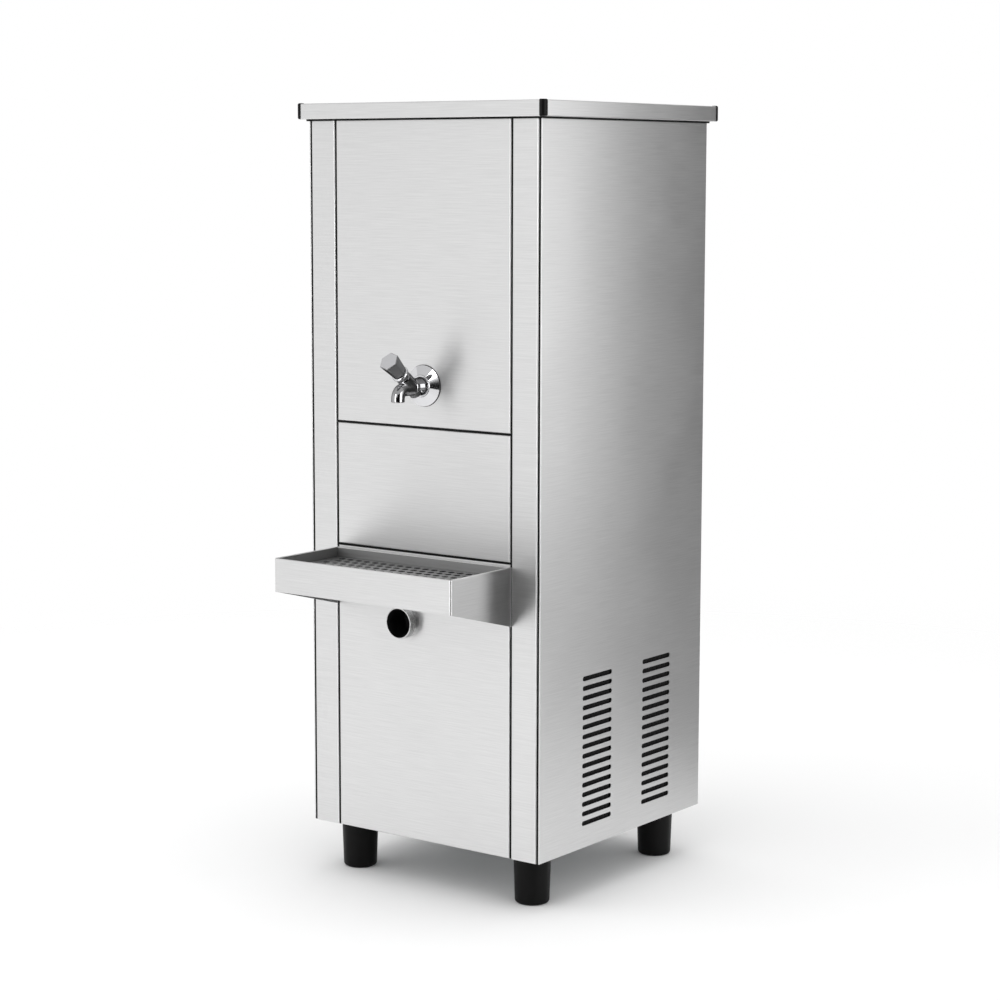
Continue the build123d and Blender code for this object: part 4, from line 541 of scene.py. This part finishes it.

# %% [markdown]
# ## A sealant bead and painted corner shade
# A fitter runs black sealant round the tap's flange; from a step away it is
# the thin dark line that outlines it. Down the open corner of the tray, where
# the front and the side meet, a black bead fills the groove: painted shade for
# the dark gap between the two faces. The first is a turned bead; the other two
# are small discs, extruded up the corner grooves.

# %% Beads
TAP_BEAD = ((-0.1, 0), (0.7, 0), (0.5, 0.5), (-0.1, 0.9))  # past the rim, out of the panel
shape = bmesh.new()
tap_foot = middle("tap_flange")
tap_foot.y = front_y
rim = (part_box("tap_flange")[1][0] - tap_foot.x) / MM
turned(shape, tap_foot, out_of_front, [(rim + past, out) for past, out in TAP_BEAD])
finished("tap_sealant", shape, "cabinet", "black_rubber")

BEAD_RADIUS = 0.6 * MM
BEAD_AWAY = 1.65 * MM  # from the tray's corner, on the diagonal
BEAD_INSET = BEAD_AWAY / math.sqrt(2)
FRONT_WALL = 47.0 * MM
BEAD_STOP = 1.6 * MM
tray_low, tray_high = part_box("drip_tray")
bead_z = tray_high[2] - FRONT_WALL
# painted shade: black beads in the tray's corner grooves stand in for the dark gap
shape = bmesh.new()
for side in (-1, 1):
    foot = Matrix.Translation((side * (tray_high[0] - BEAD_INSET), tray_low[1] + BEAD_INSET, bead_z))
    disc = bmesh.ops.create_circle(shape, cap_ends=True, segments=10, radius=BEAD_RADIUS, matrix=foot)
    face = disc["verts"][0].link_faces[0]
    raised = bmesh.ops.extrude_face_region(shape, geom=[face])["geom"]
    top = [item for item in raised if isinstance(item, bmesh.types.BMVert)]
    bmesh.ops.translate(shape, verts=top, vec=upward * (FRONT_WALL - BEAD_STOP))
finished("tray_corner_shade_bead", shape, "cabinet", "black_rubber")

# %% [markdown]
# ## Painted shade in the seams
# The panels don't touch. A strip of black rubber fills each seam, a
# millimetre below the face: painted shade, standing in for the dark inside of
# the gap. It could be one long extrusion bent round the panels. Straight bars
# with soft edges look the same from outside.

# %% Seam shade
RECESS = 1.0 * MM
STRIP_DEPTH = 3.0 * MM
STRIP_EASE = 0.1 * MM
STRIP_BEVEL = 0.3 * MM


def bar(shape, place, size, bevel):
    made = bmesh.ops.create_cube(shape, size=1, matrix=place @ Matrix.Diagonal((*size, 1)))
    edges = {edge for vert in made["verts"] for edge in vert.link_edges}
    bmesh.ops.bevel(
        shape, geom=list(edges), offset=bevel, segments=2, profile=0.5, affect="EDGES", material=-1
    )


def strip(shape, low, high):
    (x0, z0), (x1, z1) = low, high
    centre = Matrix.Translation(((x0 + x1) / 2, front_y + RECESS + STRIP_DEPTH / 2, (z0 + z1) / 2))
    bar(shape, centre, (x1 - x0 - STRIP_EASE, STRIP_DEPTH, z1 - z0 - STRIP_EASE), STRIP_BEVEL)


post_low, post_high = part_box("right_front_post")
panel_low, panel_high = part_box("upper_front_panel")
splash_low, splash_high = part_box("splash_panel")
lower_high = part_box("lower_front_panel")[1]
seam = post_low[0] - panel_high[0]
# painted shade: black strips in the seams stand in for the dark inside of the gaps
shape = bmesh.new()
for x in (-post_high[0] - seam, -post_low[0], panel_high[0], post_high[0]):
    strip(shape, (x, post_low[2]), (x + seam, post_high[2]))
strip(shape, (panel_low[0], splash_high[2]), (panel_high[0], panel_low[2]))
strip(shape, (panel_low[0], lower_high[2]), (panel_high[0], splash_low[2]))
finished("seam_shade_strips", shape, "cabinet", "black_rubber")
print("seams are", round(seam / MM, 2), "mm wide")

# %% [markdown]
# ## Rings on the drain stub
# A hose is pushed over the stub and held by a clip, so the stub has three low
# rings that grip it. They are rolled into the tube: half-round, and as bright
# as the tube itself.

# %% Drain rings
RING_PLACES = (2.6, 6.0, 9.4)
RING = ((21.8, -0.9), (22.4, -0.5), (22.6, 0), (22.4, 0.5), (21.8, 0.9))  # radius, along the stub
shape = bmesh.new()
drain_mouth = Vector((drain_axis.x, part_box("drain_outlet")[0][1], drain_axis.z))
for mid in RING_PLACES:
    turned(shape, drain_mouth, out_of_back, [(radius, mid + along) for radius, along in RING])
finished("drain_rings", shape, "cabinet", "stainless_tray")

# %% [markdown]
# ## Rear screws
# The rear panels are held by self-tapping screws with a washer face and a six
# sided head, the kind an assembler drives with a socket. The CAD has plain
# round heads. Two cones, one round and one of six sides, make each head, and
# a bevel softens its rim. They stand in the same places, measured from the
# ends of the panels.

# %% Screws
SCREW_EDGE = 9 * MM
SCREW_END = 40 * MM
WASHER_FOOT, WASHER_RIM, WASHER_HEIGHT = 3.8 * MM, 3.5 * MM, 0.8 * MM
HEX_FOOT, HEX_TOP, HEX_HEIGHT = 2.9 * MM, 2.8 * MM, 1.5 * MM
HEX_BEVEL = 0.2 * MM
half_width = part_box("right_side_panel")[1][0]
facing_back = Matrix.Rotation(math.radians(-90), 4, "X")
shape = bmesh.new()
for panel in ("upper_rear_panel", "rear_grille"):
    low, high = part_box(panel)
    for z in (low[2] + SCREW_END, (low[2] + high[2]) / 2, high[2] - SCREW_END):
        for x in (SCREW_EDGE - half_width, half_width - SCREW_EDGE):
            seat = Matrix.Translation((x, back_y, z)) @ facing_back
            washer = Matrix.Translation((0, 0, WASHER_HEIGHT / 2))
            bmesh.ops.create_cone(
                shape, cap_ends=True, segments=24, radius1=WASHER_FOOT, radius2=WASHER_RIM,
                depth=WASHER_HEIGHT, matrix=seat @ washer,
            )
            lift = Matrix.Translation((0, 0, WASHER_HEIGHT + HEX_HEIGHT / 2))
            hexagon = bmesh.ops.create_cone(
                shape, cap_ends=True, segments=6, radius1=HEX_FOOT, radius2=HEX_TOP, depth=HEX_HEIGHT,
                matrix=seat @ lift,
            )
            edges = {edge for vert in hexagon["verts"] for edge in vert.link_edges}
            bmesh.ops.bevel(
                shape, geom=list(edges), offset=HEX_BEVEL, segments=1, profile=0.5, affect="EDGES",
                material=-1,
            )
rear_heads = finished("rear_screw_heads", shape, "cabinet", "zinc_screw")
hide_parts("rear_screws")

# %% [markdown]
# ## Inlet thread
# The water comes in at the back through a half-inch pipe thread, 14 turns to
# the inch. A real thread climbs; at this size a row of rings looks the same,
# and one zig-zag profile spun once makes them all.

# %% Thread
PITCH = 1.81
THREAD_FROM, THREAD_TURNS = 4.6, 8
CREST, ROOT, INSIDE = 10.75, 10.3, 10.0
CREST_FROM, CREST_TO = 0.45, 0.55  # shares of the pitch
RUN_OUT = 0.1
inlet = middle("inlet_connector")
inlet.y = back_y
zigzag = [(INSIDE, THREAD_FROM)]
for ridge in range(THREAD_TURNS):
    start = THREAD_FROM + ridge * PITCH
    zigzag.append((ROOT, start + RUN_OUT))
    zigzag += [(CREST, start + share * PITCH) for share in (CREST_FROM, CREST_TO)]
thread_end = THREAD_FROM + THREAD_TURNS * PITCH
zigzag += [(ROOT, thread_end), (INSIDE, thread_end)]
shape = bmesh.new()
turned(shape, inlet, out_of_back, zigzag)
finished("inlet_thread", shape, "cabinet", "brass")

# %% [markdown]
# ## Thermostat scale and pointer
# The thermostat's knob turns three quarters of a circle. Short raised marks
# on the panel show how far, the two at the ends longer, and a white line of
# paint fills the slot in the knob. The marks are small bevelled bars set out
# round the knob's axis; the line rides with the knob.

# %% Dial
MARKS = 10
SWEEP = math.radians(270)
MARK_RADIUS = 20.0 * MM
MARK_WIDTH, MARK_HEIGHT, MARK_BEVEL = 0.8 * MM, 0.5 * MM, 0.12 * MM
MARK_LENGTH, END_MARK_LENGTH = 3.2 * MM, 5.0 * MM
POINTER_SIZE = (1.8 * MM, 0.7 * MM, 12.0 * MM)
POINTER_BEVEL = 0.25 * MM
POINTER_DEPTH = 1.0 * MM
POINTER_OUT = 7.0 * MM
dial = middle("thermostat_knob")
dial_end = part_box("thermostat_knob")[1][1]
dial.y = back_y
shape = bmesh.new()
for mark in range(MARKS):
    swing = SWEEP * (mark / (MARKS - 1) - 0.5)
    length = END_MARK_LENGTH if mark in (0, MARKS - 1) else MARK_LENGTH
    spoke = Matrix.Translation(dial) @ Matrix.Rotation(swing, 4, "Y")
    mark_place = spoke @ Matrix.Translation((0, 0, MARK_RADIUS))
    bar(shape, mark_place, (MARK_WIDTH, MARK_HEIGHT, length), MARK_BEVEL)
finished("thermostat_marks", shape, "cabinet", "black_enamel")

shape = bmesh.new()
line = Matrix.Translation((dial.x, dial_end - POINTER_DEPTH, dial.z + POINTER_OUT))
bar(shape, line, POINTER_SIZE, POINTER_BEVEL)
finished("thermostat_pointer", shape, "dial", "white_plastic")

# %% [markdown]
# ## Grip ribs on the cord gland
# The gland's cap is tightened by hand, so its rim carries ribs. One bevelled
# bar, repeated round the rim, is enough.

# %% Gland
RIBS = 20
RIM_RADIUS = 13.0 * MM
RIB_SIZE = (1.6 * MM, 2.8 * MM, 1.0 * MM)
RIB_BEVEL = 0.3 * MM
RIB_OUT = 1.8 * MM
gland = middle("cord_gland")
gland.y = back_y
shape = bmesh.new()
for rib in range(RIBS):
    swing = Matrix.Rotation(math.tau * rib / RIBS, 4, "Y")
    rib_place = Matrix.Translation(gland) @ swing @ Matrix.Translation((0, RIB_OUT, RIM_RADIUS))
    bar(shape, rib_place, RIB_SIZE, RIB_BEVEL)
finished("gland_ribs", shape, "cabinet", "black_plastic")

# %% [markdown]
# ## Strainer in the spout
# The nozzle holds a woven strainer that calms the jet. A square grid, trimmed
# to a disc and turned into wires, is close to the real weave at this size.

# %% Strainer
STRAINER_RADIUS = 4.9 * MM
CELLS = 12
WIRE = 0.22 * MM
STRAINER_UP = 1.2 * MM
STRAINER_EASE = 0.4 * MM
nozzle = middle("tap_nozzle")
nozzle.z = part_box("tap_nozzle")[0][2] + STRAINER_UP
shape = bmesh.new()
bmesh.ops.create_grid(
    shape, x_segments=CELLS, y_segments=CELLS, size=STRAINER_RADIUS, matrix=Matrix.Translation(nozzle)
)
reach = STRAINER_RADIUS - STRAINER_EASE
outside = [face for face in shape.faces if (face.calc_center_median() - nozzle).length > reach]
bmesh.ops.delete(shape, geom=outside, context="FACES")
bmesh.ops.wireframe(
    shape, faces=shape.faces[:], thickness=WIRE, use_replace=True, use_boundary=True, use_even_offset=True
)
finished("spout_strainer", shape, "cabinet", "zinc_screw")

# %% [markdown]
# ## Painted shade behind the vents
# The fan draws air in through the right side's vents and over the condenser's
# fins. A pleated black sheet stands between them: painted shade, standing in
# for the dark inside of the cabinet, so that from outside the slots look
# black. It is one zig-zag line, raised upright and given a thickness.

# %% Vent shade
PLEAT = 6.0 * MM
PLEAT_DEPTH = 2.4 * MM
SHADE_SHEET = 0.6 * MM
SHADE_SHEET_EASE = 4.0 * MM
fins_low, fins_high = (Vector(corner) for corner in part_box("condenser_fins"))
pleats = round((fins_high.y - fins_low.y) / PLEAT)
# painted shade: a black pleated sheet behind the vents stands in for the dark inside of the cabinet
shape = bmesh.new()
for fold in range(pleats + 1):
    x = fins_high.x + SHADE_SHEET_EASE + (PLEAT_DEPTH if fold % 2 else 0)
    shape.verts.new((x, fins_low.y + fold * PLEAT, fins_low.z + SHADE_SHEET_EASE))
shape.verts.ensure_lookup_table()
folds = [shape.edges.new(pair) for pair in zip(shape.verts[:-1], shape.verts[1:])]
raised = bmesh.ops.extrude_edge_only(shape, edges=folds)["geom"]
top = [item for item in raised if isinstance(item, bmesh.types.BMVert)]
bmesh.ops.translate(shape, verts=top, vec=upward * (fins_high.z - fins_low.z - SHADE_SHEET_EASE))
bmesh.ops.solidify(shape, geom=shape.faces[:], thickness=SHADE_SHEET)
finished("vent_shade_sheet", shape, "cabinet", "black_rubber")

# %% [markdown]
# ## Weld on the compressor
# The compressor's two shells are welded where they meet. The bead is a turned
# half-round just under the upper shell's lip, painted over with the shells.

# %% Weld
WELD = ((75.8, 0.0), (78.2, -0.1), (78.0, -1.4), (77.0, -2.3), (75.8, -2.8))  # radius, up from the lip
weld = middle("compressor_upper_shell")
weld.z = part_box("compressor_upper_shell")[0][2]
shape = bmesh.new()
turned(shape, weld, upward, WELD)
finished("compressor_weld", shape, "cabinet", "black_enamel")
